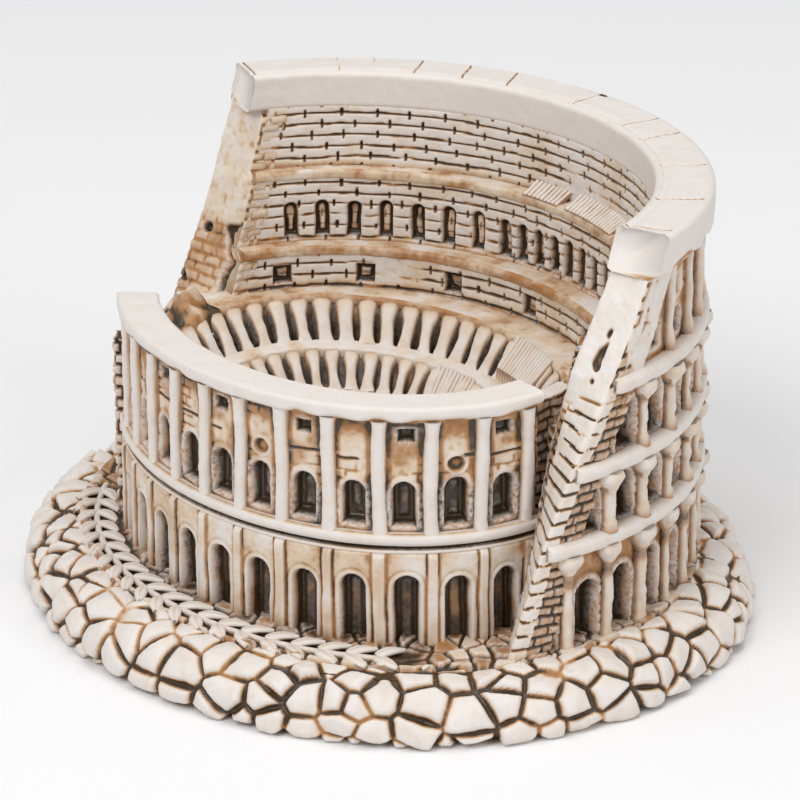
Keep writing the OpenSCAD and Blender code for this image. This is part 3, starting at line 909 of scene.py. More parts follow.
class MINIATURE_OT_front_upper(Operator):
    """Carve the front wall's upper storey: tall panels with an arched window, some with a small square one"""

    bl_idname = "miniature.front_upper"
    bl_label = "Front wall, upper storey"

    def execute(self, context):
        z0, z1 = levels("front_arcade_upper")
        bays = front_bays()
        look_ = look()

        def carve(s, z, t, p):
            x, n = bay_place(s, LOW_PANEL, bays)
            x = x + 0.1 * lumps(p, 4, 51)
            y = z - z0
            window = opening(x + 0.2 * (chance(n, seed=52) - 0.5), y - 0.75, 2.95 - 0.3 * chance(n, seed=53),
                             5.6 + 0.6 * (chance(n, seed=54) - 0.5))
            # Every second bay has a small square window, and every fourth a round boss instead.
            square = opening(x + 0.5 * (chance(n, seed=55) - 0.5), y - 11.1, 1.9, 1.5, arched=False)
            square = np.where((n % 2 == 0), square, FAR)
            shield = np.where((n % 4 == 1) & (y > 6), np.hypot(x, (y - 8.2) * 1.15) - 1.15, FAR)
            crack = np.abs(y - 8.9 - 0.25 * lumps(p, 3, 56) - 0.5 * (chance(n, seed=57) - 0.5))
            crack = crack + 0.5 * ramp(0.1, 0.4, -lumps(p, 4, 58))
            h = -1.7 * ramp(0.15, -0.4, window)
            h = h + 0.35 * ramp(-0.4, -1.3, window) * (0.6 + 0.5 * lumps(p, 2, 59))
            h = h + 0.16 * ramp(0.55, 0.2, np.abs(window - 0.35)) * (window > 0)
            h = h - 1.25 * ramp(0.15, -0.35, square) - 0.4 * ramp(0.1, -0.5, shield)
            h = h + 0.2 * ramp(0.3, 0.0, np.abs(shield - 0.1))
            h = h - 0.28 * ramp(0.2, 0.05, crack) * (shield > 0.3)
            bed, end, _ = courses(s, z, 1.15, 2.6, 60, 0.2)
            worn = ramp(0.0, 0.35, lumps(p, 3.4, 61))
            h = h - 0.16 * worn * ramp(0.22, 0.05, np.minimum(bed, end)) * (window > 0.4)
            h = h + 0.16 * rough(p, 2.2, 62) + 0.07 * rough(p, 0.8, 63, 2)
            side = ramp(1.2, 2.0, np.abs(x))
            stain = 0.5 * ramp(0.1, -0.4, window) + 0.55 * ramp(0.1, -0.3, square)
            stain = stain + 0.45 * ramp(0.25, 0.05, crack)
            # Beside the pilasters, under the coping, at the foot on the string course and low in each window
            # the panel is darker: pooled wash with painted shade.
            stain = stain + 0.42 * side + 0.32 * ramp(10.4, 13.0, y) + 0.3 * ramp(1.2, 0, y) + 0.1
            stain = stain + 0.42 * ramp(-0.3, 0.4, lumps(p, 2.6, 64)) * (0.5 + side)
            stain = stain - 0.2 * ramp(-0.5, -1.2, window) * ramp(2.2, 4.2, y)
            return h, stain + 0.3 * ramp(0, -0.6, window) * ramp(2.6, 1, y)

        def bricks(s, z, t, p):
            bed, end, one = courses(s, z, look_.course, look_.brick, 65)
            joint = mortar(bed, end, 0.3, 0.26)
            return -0.4 * joint + 0.15 * (one - 0.5) + 0.08 * rough(p, 1.5, 66), 0.1

        skin = wall_skin(Skin(), LOW_PANEL, LOW_INNER, FRONT_LEFT, FRONT_RIGHT, z0 - 0.3, z1 + 0.2,
                         look_.grain * 0.85, front=carve, back=bricks)
        make_piece("front_arcade_upper", skin, "Panels", "ivory_resin")
        return {"FINISHED"}


class MINIATURE_OT_front_pilasters(Operator):
    """Model the rounded pilasters between the front wall's panels"""

    bl_idname = "miniature.front_pilasters"
    bl_label = "Front pilasters"

    def execute(self, context):
        z0, z1 = levels("front_pilasters")
        skin = Skin()
        for n, t in enumerate(front_bays()):
            out, across = facing(LOW_PANEL, t)
            base = np.append(LOW_PANEL.at(t), z0 - 0.3) - out * 0.35

            def section(k):
                foot, head = 0.4 * math.exp(-k * 26), 0.5 * math.exp(-(1 - k) * 22)
                return outline(1.75 + foot + head + 0.1 * math.sin(k * 9 + n), 2.5 + 0.25 * head, 2.6, 26)

            def wash(k, ring):
                # The pilaster's sides next to the wall are darker: wash in the corner with painted shade.
                return 0.5 * ramp(0.62, 0.9, np.abs(ring[..., 0])) * ramp(1.1, 0.5, ring[..., 1])

            bar(skin, base, (0, 0, 1), across, out, z1 - z0 + 0.5, section, wash, 0.3, 70 + n, uneven=0.12,
                steps=70, bend=lambda k: np.outer(0.12 * np.sin(k * 5 + n), across))
        make_piece("front_pilasters", skin, "Trim", "cream_resin")
        return {"FINISHED"}


def smooth_band(s, z, t, p):
    """A plain moulding, rubbed clean."""
    return 0.07 * rough(p, 2.6, 75) + 0.035 * rough(p, 0.9, 76, 2), -0.1


class MINIATURE_OT_front_coping(Operator):
    """Round off the front wall with its plain coping"""

    bl_idname = "miniature.front_coping"
    bl_label = "Front coping"

    def execute(self, context):
        z0, z1 = levels("front_coping")

        def face(s, z, t, p):
            h, w = smooth_band(s, z, t, p)
            y = z - z0 - 0.35 * wander(s, 2.4, 77)
            # The undercut foot of the coping's face is darker: wash caught under the lip, with painted shade.
            return h - 0.4 * ramp(0.75, 0.1, y), w + 0.3 * ramp(0.6, 0.0, y)

        def crown(s, r, t, p):
            x, n = bay_place(s, LOW, front_bays())
            joint = ramp(0.2, 0.05, np.abs(np.abs(x) - 3.0 - 0.3 * lumps(p, 4, 79)))
            joint = joint * (chance(n, seed=78) > 0.55)
            return 0.12 * rough(p, 3, 80) - 0.08 * joint, 0.05 * joint - 0.12

        skin = wall_skin(Skin(), LOW.inset(-0.25), LOW_INNER.inset(0.3), FRONT_LEFT, FRONT_RIGHT, z0, z1,
                         look().grain, front=face, back=smooth_band, top=crown, nose=0.5)
        make_piece("front_coping", skin, "Coping", "cream_resin")
        return {"FINISHED"}


# ---------------------------------------------------------------- tall wall


def right_edge(z):
    """Angle at which the tall wall's outer face breaks off at its right end."""
    return np.interp(z, (7, 19, 29, 43, 51, 53.4), (-3.5, 2.0, 8.3, 21.0, 27.5, 29.4))


def left_edge(z):
    """Angle at which the tall wall's outer face breaks off at its left end."""
    return np.interp(z, (7, 19, 24, 35, 52), (200.5, 199.0, 190.5, 183.5, 176.0))


def right_inner(z):
    """Angle at which the tall wall's inner face breaks off at its right end."""
    return np.interp(z, (25, 37, 42, 50, 53), (12.0, 15.0, 18.0, 28.0, 34.0))


def left_inner(z):
    """Angle at which the tall wall's inner face breaks off at its left end."""
    return left_edge(z) - 4.0


def tall_bays():
    """Angles of the tall wall's columns."""
    return TALL_FACE.bays(-0.8, look().bay, 204)


def outer_face(carve, z0, z1):
    """One storey of the tall wall's outer face, cut back at the broken ends to lie inside the spurs."""
    return wall_skin(Skin(), TALL_FACE, TALL_CORE.inset(0.4), RIGHT_END, LEFT_END, z0, z1, look().grain,
                     front=carve, lean0=lambda z: right_edge(z) + 4.5, lean1=lambda z: left_edge(z) - 4.0)


class MINIATURE_OT_outer_arcades(Operator):
    """Carve the tall wall's three arcades, dark behind their columns"""

    bl_idname = "miniature.outer_arcades"
    bl_label = "Outer arcades"

    def execute(self, context):
        for storey in (1, 2, 3):
            node = f"outer_arcade_{storey}"
            z0, z1 = levels(node)
            seed = 100 + 10 * storey
            rise = min(z1 - z0 - 1.3, 8.2)

            def carve(s, z, t, p):
                x, n = bay_place(s, TALL_FACE, tall_bays())
                x = x + 0.15 * lumps(p, 3, seed)
                arch = opening(x + 0.3 * (chance(n, seed=seed) - 0.5), z - z0 - 0.2, 3.3,
                               rise + 0.6 * (chance(n, seed=seed + 1) - 0.5))
                h = -2.5 * ramp(0.2, -0.5, arch) + 0.3 * ramp(0.6, 0.25, np.abs(arch - 0.4)) * (arch > 0)
                bed, end, one = courses(s, z, 1.2, 2.4, seed + 2, 0.2)
                near = ramp(9, 3, t - right_edge(z)) + 0.4 * ramp(0.1, 0.4, lumps(p, 4, seed + 3))
                joint = mortar(bed, end, 0.26, 0.24) * np.clip(near, 0, 1) * (arch > 0.3)
                h = h - 0.4 * joint + 0.2 * (one - 0.5) * near * (arch > 0.3)
                h = h + 0.15 * rough(p, 1.8, seed + 4) + 0.06 * rough(p, 0.7, seed + 5, 2)
                # Inside the arches the wash gathers; at the foot of the storey and just under the cornice
                # above, pooled wash and painted shade darken the wall.
                stain = 0.5 * ramp(0.2, -0.4, arch) + 0.55 * ramp(1.6, 0, z - z0)
                stain = stain + 0.25 * ramp(z1 - 1.4, z1, z)
                return h, stain + 0.3 + 0.2 * lumps(p, 3, seed + 6)

            skin = outer_face(carve, z0 - 0.1, z1 + 0.1)
            make_piece(node, skin, "Arcades", "ivory_resin", weld=True)
        return {"FINISHED"}


class MINIATURE_OT_outer_columns(Operator):
    """Turn the engaged columns with their flared capitals"""

    bl_idname = "miniature.outer_columns"
    bl_label = "Outer columns"

    def execute(self, context):
        for storey in (1, 2, 3):
            node = f"outer_columns_{storey}"
            z0, z1 = levels(node)
            skin = Skin()
            for n, t in enumerate(tall_bays()):
                if right_edge(z1) + 3.2 < t < left_edge(z1) - 3.2:
                    self.column(skin, t, z0 - 0.1, z1 + 0.15, 200 + 40 * storey + n)
            make_piece(node, skin, "Columns", "cream_resin")
        return {"FINISHED"}

    def column(self, skin, t, z0, z1, seed):
        """One column, with a ring at its foot, a necking and a wide capital."""
        out, across = facing(TALL_FACE, t)
        height = z1 - z0
        stout = 0.72 + 0.26 * (chance(seed, seed=1) - 0.5)

        def section(k):
            z = k * height
            foot = 0.34 * bell(z, 0.6) + 0.2 * bell(z - 1.0, 0.3)
            head = ramp(height - 2.7, height - 0.8, z) - 0.25 * ramp(height - 0.5, height, z)
            necking = 0.12 * bell(z - height + 2.3, 0.25)
            radius = stout * (1 - 0.1 * k) + foot + head + necking
            return outline(2.04 * radius, 2 * radius, 2.3, 22)

        def wash(k, ring):
            # Under the capital, at the foot and on the back next to the wall the column is darker: pooled
            # wash with painted shade.
            under_capital = 0.6 * bell(k - 0.74, 0.07)[:, None] * (ring[..., 1] < 0.8)
            return under_capital + 0.45 * np.exp(-k * 12)[:, None] + 0.6 * ramp(0.5, -0.4, ring[..., 1])

        lean = 0.35 * (chance(seed, seed=2) - 0.5)
        bar(skin, np.append(TALL_FACE.at(t), z0) + 0.5 * out, (0, 0, 1), across, out, height, section, wash,
            0.35, seed, uneven=0.26, steps=34, bend=lambda k: np.outer(lean * np.sin(k * 3), across))


class MINIATURE_OT_cornices(Operator):
    """Run the rounded cornices between the storeys"""

    bl_idname = "miniature.cornices"
    bl_label = "Cornices"

    def execute(self, context):
        for storey in (1, 2, 3):
            node = f"outer_cornice_{storey}"
            z0, z1 = levels(node)
            middle = (z0 + z1) / 2
            first, last = right_edge(middle) + 1.3, left_edge(middle) - 1.6

            def tuck(s):
                """Rounds the two ends of the cornice off into the wall, from 0 to 1."""
                end = np.minimum(s - TALL.s(first), TALL.s(last) - s)
                return 1 - np.sqrt(1 - (1 - np.clip(end / 1.1, 0, 1)) ** 2)

            def carve(s, z, t, p):
                h = 0.042 * wander(s, 8, 130, storey) + 0.09 * rough(p, 2.4, 131 + storey) - 0.65 * tuck(s)
                # The cornice's lower half is darker towards its underside, where it meets the wall below:
                # pooled wash with painted shade.
                return h, 0.3 * ramp(middle - 0.5, z0 - 0.1, z) + 0.1 * ramp(z1 - 0.3, z1 + 0.1, z)

            def top(s, r, t, p):
                # The back of the cornice's top, where the wall above stands on it, is darker: pooled wash
                # with painted shade.
                return 0.06 * rough(p, 1.2, 136) - 0.7 * tuck(s), 0.5 * ramp(0.9, 1.8, r) - 0.1

            skin = wall_skin(Skin(), TALL.inset(0.1), TALL.inset(3.0), RIGHT_END, LEFT_END,
                             z0 - 0.2, z1 + 0.15, look().grain * 0.85, front=carve, top=top, nose=0.8,
                             lean0=lambda z: first + 0 * z, lean1=lambda z: last + 0 * z)
            make_piece(node, skin, "Trim", "cream_resin", weld=True)
        return {"FINISHED"}


class MINIATURE_OT_attic(Operator):
    """Carve the attic, with its square windows and patches of bare brick"""

    bl_idname = "miniature.attic"
    bl_label = "Attic"

    def execute(self, context):
        z0, z1 = levels("attic_wall")

        def carve(s, z, t, p):
            x, n = bay_place(s, TALL_FACE, tall_bays())
            y = z - z0
            high = opening(x + 0.4 * (chance(n, seed=140) - 0.5), y - 6.2 + 0.8 * chance(n, seed=141),
                           2.0, 2.2, arched=False)
            low = opening(x + 0.5 * (chance(n, seed=142) - 0.5), y - 1.2,
                          2.3, 2.4 + chance(n, seed=143), arched=False)
            hole = np.minimum(np.where(n % 2 == 0, high, FAR), np.where(chance(n, seed=144) > 0.3, low, FAR))
            bed, end, one = courses(s, z, 1.45, 3.0, 145, 0.2)
            bare = np.clip(ramp(10, 4, t - right_edge(z)) + ramp(0.05, 0.35, lumps(p, 5, 146)), 0, 1)
            joint = mortar(bed, end, 0.3, 0.28, 0.1) * bare * (hole > 0.3)
            h = -1.9 * ramp(0.15, -0.4, hole) - 0.45 * joint + 0.25 * (one - 0.5) * bare
            h = h + 0.16 * rough(p, 2.4, 147) + 0.06 * rough(p, 0.8, 148, 2)
            # Inside the windows the wash gathers; at the foot, under the coping and beside the pilasters,
            # pooled wash and painted shade darken the wall.
            stain = 0.55 * ramp(0.2, -0.3, hole) + 0.5 * ramp(1.2, 0, y) + 0.3 * ramp(1.5, 2.6, np.abs(x))
            return h, stain + 0.3 * ramp(8.5, 10.5, y) + 0.25 + 0.3 * lumps(p, 3, 149)

        make_piece("attic_wall", outer_face(carve, z0 - 0.1, z1 + 0.2), "Arcades", "ivory_resin", weld=True)

        def section(k):
            swell = 0.5 * bell(k - 0.1, 0.09) + 0.35 * math.exp(-(1 - k) * 14)
            return outline(1.0 + 0.8 * swell, 1.7 + swell, 2.2, 18)

        def wash(k, ring):
            # The pilaster's back next to the wall and its foot are darker: pooled wash with painted shade.
            return 0.7 * ramp(0.5, -0.1, ring[..., 1]) + 0.4 * np.exp(-k * 10)[:, None]

        skin = Skin()
        for n, t in enumerate(tall_bays()):
            if right_edge(z1) + 1.5 < t < left_edge(z1) - 2:
                out, across = facing(TALL_FACE, t)
                bar(skin, np.append(TALL_FACE.at(t), z0 + 0.1) + 0.15 * out, (0, 0, 1), across, out,
                    z1 - z0 + 0.2, section, wash, 0.35, 150 + n, uneven=0.16, steps=44,
                    bend=lambda k: np.outer(0.15 * np.sin(k * 4 + n), across))
        make_piece("attic_pilasters", skin, "Columns", "cream_resin")
        return {"FINISHED"}


def inner_bricks(s, z, t, p, seed):
    """Coursed bricks of the tall wall's inner side, plastered over in places. Short ticks mark their ends."""
    look_ = look()
    bed, _, one = courses(s, z, look_.course, look_.brick, seed, 0.16)
    bare = ramp(-0.75, -0.35, lumps(p, 7, seed + 5) + 0.3 * lumps(p, 2, seed + 6))
    bare = bare * ramp(0, 8, left_inner(z) - t) * ramp(0, 2, t - right_inner(z))
    width = 0.17 + 0.06 * lumps(p, 2.5, seed + 7)
    gone = ramp(-0.55, -0.2, lumps(p, 2.6, seed + 4) + 0.4)
    joint = ramp(width, width - 0.13, bed) * gone
    line = np.floor(z / look_.course + 0.5)
    tick = s + look_.brick * (0.5 * line + 0.3 * chance(line, seed=seed + 3))
    tick = (tick + 0.8 * wander(s, 6, seed + 2, line * ROW_STEP)) / look_.brick
    tick = (0.5 - np.abs(tick - np.floor(tick) - 0.5)) * look_.brick
    notch = ramp(0.21, 0.08, tick) * ramp(0.6, 0.4, bed + 0.25 * (one - 0.5))
    h = -0.3 * joint * bare - 0.42 * notch * bare
    h = h + (0.12 * (one - 0.5) + 0.03 * ramp(0.1, 0.5, bed)) * bare
    h = h + 0.1 * rough(p, 1.9, seed + 8) + 0.05 * rough(p, 0.6, seed + 9, 2)
    return h, (0.6 * joint + 0.6 * notch) * bare + 0.05 + 0.16 * lumps(p, 5, seed + 10)


class MINIATURE_OT_top_coping(Operator):
    """Crown the tall wall with its coping, scored across at each stone"""

    bl_idname = "miniature.top_coping"
    bl_label = "Top coping"

    def execute(self, context):
        z0, z1 = levels("top_coping")

        def face(s, z, t, p):
            h, w = smooth_band(s, z, t, p)
            y = z - z0 - 0.5 * wander(s, 3, 171)
            # The undercut foot of the coping's face is darker: wash caught under the lip, with painted shade.
            return h - 0.55 * ramp(1.0, 0.2, y), w + 0.35 * ramp(0.7, 0.1, y)

        def crown(s, r, t, p):
            stone, chip_at = 6.4, TALL.s(105.5)
            along = s + 1.2 * wander(s, 11, 172)
            n = np.floor(along / stone)
            skew = 0.35 * (r - 3) * (chance(n, seed=173) - 0.3)
            line = ramp(0.17, 0.04, np.abs(along + skew - (n + 0.5) * stone))
            line = line * ramp(0.2, 0.5, chance(n, seed=174) + 0.3 * lumps(p, 4, 175))
            chip = ramp(1.0, 0.5, np.hypot(s - chip_at, (r - 1.0) * 2.0))
            h = 0.12 * rough(p, 3.5, 176) + 0.04 * rough(p, 1, 177, 2) - 0.3 * line - 0.7 * chip
            return h - 0.5 * ramp(4.8, 7.0, r), 0.85 * line + 0.9 * chip - 0.1

        skin = wall_skin(Skin(), TALL.inset(-0.2), INNER_UPPER.inset(0.1), right_edge(z1) - 6, LEFT_END - 20,
                         z0 - 0.2, z1, look().grain, front=face, top=crown, nose=0.7, back=smooth_band,
                         lean0=lambda z: right_edge(z) - 0.1, lean1=lambda z: left_edge(z) - 0.2)
        make_piece("top_coping", skin, "Coping", "cream_resin", weld=True)
        return {"FINISHED"}


class MINIATURE_OT_inner_walls(Operator):
    """Carve the three set-back stages inside the tall wall, and their ledges"""

    bl_idname = "miniature.inner_walls"
    bl_label = "Inner walls"

    def execute(self, context):
        grain = look().grain * 0.85
        z_low, z_mid, z_up = (levels(f"inner_wall_{n}") for n in ("lower", "middle", "upper"))
        ledge_low, ledge_mid, ledge_up = (levels(f"ledge_{n}") for n in ("lower", "middle", "upper"))

        def niches(rule, turns, p, t, z, foot, width, height, arched, seed):
            """Depth and stain of a row of recesses at the given angles, a little paler at the back. Low on
            their floors the stain is pooled wash with painted shade.
            """
            h, stain = 0, 0
            for n, turn in enumerate(turns):
                x = rule.s(t) - rule.s(turn) + 0.1 * lumps(p, 2, seed + n)
                d = opening(x, z - foot, width, height + 0.5 * (chance(n, seed=seed) - 0.5), arched)
                pale = ramp(-0.3, -0.8, d + 0.3 * lumps(p, 1.3, seed + 20 + n))
                h = h - (1.2 + 0.5 * chance(n, seed=seed + 1)) * ramp(0.12, -0.4, d) + 0.5 * pale
                stain = stain + (0.45 - 0.5 * pale) * ramp(0.1, -0.4, d)
                # Pooled wash and painted shade darken the floor of each recess.
                stain = stain + 0.3 * ramp(0.1, -0.6, d) * ramp(1.5, 0, z - foot)
            return h, stain

        def stage(seed, foot, row=None):
            """The carving of one stage: bricks, darker at the foot with pooled wash and painted shade, and
            perhaps a row of recesses.
            """
            def carve(s, z, t, p):
                h, wash = inner_bricks(s, z, t, p, seed)
                if row:
                    cut, stain = niches(row[0], row[1], p, t, z, *row[2:])
                    h, wash = np.where(cut < -0.1, cut, h + cut), wash + stain
                depth, top, bottom = foot
                # The foot of each stage, just above the ledge, is darker: pooled wash with painted shade.
                return h, wash + depth * ramp(top, bottom, z)
            return carve

        square_turns = (171, 150, 128, 106, 84, 62)
        arch_turns = np.concatenate([np.arange(168, 124, -7.2), np.arange(118, 30, -4.6)])
        lower = stage(180, (0.35, 27.0, 25.7), (INNER_LOWER, square_turns, 26.4, 2.5, 2.5, False, 190))
        middle = stage(200, (0.4, 32.4, 31.0), (INNER_MIDDLE, arch_turns, 31.9, 1.95, 4.9, True, 210))
        upper = stage(160, (0.35, 42.0, 40.8))

        for name, rule, carve, z0, z1 in (
                ("inner_wall_lower", INNER_LOWER, lower, ledge_low[1] - 0.6, z_low[1]),
                ("inner_wall_middle", INNER_MIDDLE, middle, z_mid[0] - 0.3, z_mid[1]),
                ("inner_wall_upper", INNER_UPPER, upper, z_up[0] - 0.3, z_up[1] + 0.2)):
            skin = wall_skin(Skin(), TALL_CORE, rule, RIGHT_END, LEFT_END, z0, z1, grain, back=carve,
                             lean0=lambda z: right_inner(z) + 2.8, lean1=lambda z: left_inner(z) - 0.8)
            make_piece(name, skin, "Inner walls", "ivory_resin", weld=True)

        def lip(s, z, t, p):
            return 0.16 * rough(p, 2.2, 220) + 0.06 * rough(p, 0.7, 221, 2), 0.3 + 0.25 * lumps(p, 3, 222)

        def shelf(s, r, t, p):
            return 0.16 * rough(p, 2, 223), 0.2 + 0.3 * lumps(p, 3, 224)

        for name, rule, (z0, z1), last in (
                ("ledge_lower", LOW_INNER.inset(0.1), ledge_low, lambda z: 194 + 0 * z),
                ("ledge_middle", INNER_LOWER.inset(0.25), ledge_mid, lambda z: left_inner(z) - 0.4),
                ("ledge_upper", INNER_MIDDLE.inset(0.25), ledge_up, lambda z: left_inner(z) - 0.4)):
            skin = wall_skin(Skin(), TALL_CORE, rule, RIGHT_END, LEFT_END, z0 - 0.5, z1 + 0.1,
                             look().grain * 1.1, back=lip, top=shelf, nose=0.4,
                             lean0=lambda z: right_inner(z) + 4.4, lean1=last)
            make_piece(name, skin, "Ledges", "cream_resin", weld=True)
        return {"FINISHED"}


# ---------------------------------------------------------------- seating bowl


def ring_skin(profile, grain, carve):
    """A ring that goes right round, through a profile of (oval, height) corners."""
    rows = []
    for (o0, za), (o1, zb) in zip(profile, profile[1:] + profile[:1]):
        step = max(2, int(math.hypot(o0.a - o1.a, za - zb) / grain))
        for k in np.arange(step) / step:
            rows.append((o0, o1, k, za + (zb - za) * k))
    run = profile[0][0].s(360)
    t = profile[0][0].t(np.linspace(0, run, int(run / grain), endpoint=False))
    p = np.stack([np.concatenate([o0.at(t) * (1 - k) + o1.at(t) * k, np.full((len(t), 1), z)], 1)
                  for o0, o1, k, z in rows], 1)
    for _ in range(2):
        p = 0.5 * p + 0.25 * (np.roll(p, 1, 1) + np.roll(p, -1, 1))
    way = np.cross(np.roll(p, -1, 0) - np.roll(p, 1, 0), np.roll(p, -1, 1) - np.roll(p, 1, 1))
    way /= np.linalg.norm(way, axis=-1, keepdims=True) + 1e-12
    top = p[..., 2] > p[..., 2].max() - 0.05
    way *= np.sign(way[..., 2][top].mean())
    h, wash = carve(p, np.broadcast_to(t[:, None], p.shape[:2]))
    gathered, rub = wash_of(h, grain)
    return Skin().grid(p + way * h[..., None], gathered + wash, rub, round_u=True)


class MINIATURE_OT_bowl(Operator):
    """Build the seating bowl: two rings of open vaults, the walk, the podium and the arena"""

    bl_idname = "miniature.bowl"
    bl_label = "Seating bowl"

    def execute(self, context):
        grain = look().grain * 1.4

        def plain(seed, base):
            def carve(p, t):
                h = 0.14 * rough(p, 2.4, seed) + 0.05 * rough(p, 0.8, seed + 1, 2)
                return h, base + 0.25 * lumps(p, 3, seed + 2)
            return carve

        walk = levels("upper_walk")[1]
        podium = levels("podium_wall")[1]
        floor = levels("arena_floor")[1]
        top = levels("ledge_lower")[0]
        rings = (
            ("upper_vaults", 230, 0.85, "Vaults", "ochre_resin", [
                (LOW_INNER, top), (LOW_INNER.inset(0.7), top - 0.9), (WALK_OUT.inset(-1.6), walk - 1.3),
                (WALK_OUT, walk - 1.4), (WALK_OUT, walk - 3), (LOW_INNER, walk - 3)]),
            ("upper_walk", 240, 0.02, "Walks", "cream_resin", [
                (WALK_OUT.inset(-0.5), walk + 0.1), (WALK_IN, walk), (WALK_IN, walk - 3),
                (WALK_OUT, walk - 3)]),
            ("lower_vaults", 250, 0.85, "Vaults", "ochre_resin", [
                (WALK_IN, walk - 1), (WALK_IN.inset(0.6), walk - 1.6), (PODIUM_OUT.inset(-1.2), podium - 0.3),
                (PODIUM_OUT, podium - 0.4), (PODIUM_OUT, podium - 3), (WALK_IN, podium - 3)]),
            ("podium_wall", 260, 0.08, "Walks", "cream_resin", [
                (PODIUM_OUT.inset(-0.4), podium + 0.1), (ARENA.inset(0.2), podium - 0.1), (ARENA, floor - 2),
                (PODIUM_OUT, floor - 2)]),
        )
        for name, seed, stain, finish, slot, profile in rings:
            make_piece(name, ring_skin(profile, grain, plain(seed, stain)), finish, slot)
        self.arena(floor)
        self.fins("upper_fins", LOW_INNER.inset(0.2), WALK_OUT, walk - 0.7, top + 0.45, 3.0, 280)
        self.fins("lower_fins", WALK_IN.inset(0.1), PODIUM_OUT, podium - 0.3, walk - 0.3, 2.55, 281)
        return {"FINISHED"}

    def arena(self, floor, rings=60, spokes=220):
        """The uneven oval floor, in rings about its hub, with a flat underside."""
        k = np.linspace(0, 1, rings)[None, 1:, None]
        t = np.linspace(0, 360, spokes, endpoint=False)
        flat = ARENA.centre + (ARENA.inset(-0.3).at(t)[:, None] - ARENA.centre) * k
        p = np.concatenate([flat, np.full(flat.shape[:2] + (1,), floor)], -1)
        p[..., 2] += 0.22 * rough(p, 3, 270) + 0.1 * rough(p, 0.9, 271)
        p = np.concatenate([p, p[:, -1:] - np.array([0, 0, 2.0])], 1)
        skin = Skin().grid(p, 0.7 + 0.2 * lumps(p, 4, 272), round_u=True, round_v=False)
        hub, edge = np.arange(spokes) * rings, (np.arange(spokes) + 1) * rings - 1
        skin.caps = [list(hub[::-1]), list(edge)]
        make_piece("arena_floor", skin, "Vaults", "umber_resin")

    def fins(self, name, outer, inner, z_in, z_out, pitch, seed):
        """Leaning ribs between the vaults."""
        skin = Skin()
        rise, low = z_out - z_in, z_in - 1.6
        narrow = inner.s(360) / outer.s(360)

        def wash(k, ring):
            depth = ring[..., 1] - ring[..., 1].max(-1, keepdims=True)
            # Below the crest the fin's sides, deep between the fins, and its outer end are darker: pooled
            # wash with painted shade.
            return 0.95 * ramp(-0.1, -1.3, depth) - 0.02 + 0.25 * np.exp(-k * 9)[:, None]

        for n, t in enumerate(outer.t(np.arange(outer.s(0), outer.s(360) - pitch / 2, pitch))):
            start, length, along, across = spoke(outer, inner, t)
            wide = pitch * (0.62 + 0.18 * (chance(n, 1, seed=seed) - 0.5))
            hump = 0.5 + 0.5 * chance(n, 2, seed=seed)
            sway = 0.3 * (chance(n, 3, seed=seed) - 0.5)

            def section(k):
                crest = z_in + 0.35 + (rise - 0.2) * (1 - k) + 0.6 * hump * math.sin(k * math.pi)
                flare = (pitch - wide) * (0.95 * bell(k, 0.25) + 0.9 * bell(1 - k, 0.15))
                ring = outline((wide + flare) * (1 - (1 - narrow) * k), crest - low, 3.6, 24)
                ring[:, 1] += (crest + low) / 2
                return ring

            bar(skin, np.append(start, 0), along, across, (0, 0, 1), length + 0.35, section, wash, 0.35,
                seed + n, uneven=0.22, steps=20, bend=lambda k: np.outer(sway * np.sin(k * 5), across))
        make_piece(name, skin, "Columns", "cream_resin")


class MINIATURE_OT_stairs(Operator):
    """Lay the short flights of steps that break the rings of vaults"""

    bl_idname = "miniature.stairs"
    bl_label = "Stair flights"

    def execute(self, context):
        walk, podium, top = levels("upper_walk")[1], levels("podium_wall")[1], levels("ledge_lower")[0]
        shelf = levels("ledge_upper")[1]
        skin = Skin()
        tread, thick, thin = 0.72, 2.4, 0.8
        upper, lower = (LOW_INNER, WALK_OUT), (WALK_IN, PODIUM_OUT)
        slope = (INNER_UPPER.inset(-0.1), INNER_MIDDLE.inset(0.1))
        for first, last, (outer, inner), z_out, z_in, deep in (
                (82, 99, upper, top + 1.2, walk + 1.6, thick),
                (222, 236, upper, top + 0.2, walk + 0.3, thick),
                (296, 308, upper, top + 0.2, walk + 0.3, thick),
                (102, 118, lower, walk + 0.1, podium + 0.5, thick),
                (252, 264, lower, walk - 0.2, podium + 0.2, thick),
                (84, 101, slope, shelf + 1.7, shelf + 0.1, thin),
                (104, 113, slope, shelf + 1.5, shelf + 0.1, thin)):
            for n, t in enumerate(outer.t(np.arange(outer.s(first), outer.s(last), tread))):
                start, length, flat, across = spoke(outer, inner, t)
                along = flat + np.array([0, 0, (z_in - z_out) / length])
                bar(skin, np.append(start, z_out - 0.4 * deep), along, across, (0, 0, 1), length,
                    lambda k: outline(tread + 0.02, deep, 2.6, 14),
                    lambda k, ring: 0.55 * ramp(0.2, 0.36, np.abs(ring[..., 0])) + 0.02, 0.3, 300 + n,
                    uneven=0.1, steps=12)
        make_piece("stair_flights", skin, "Ledges", "ivory_resin")
        return {"FINISHED"}


# ---------------------------------------------------------------- broken ends


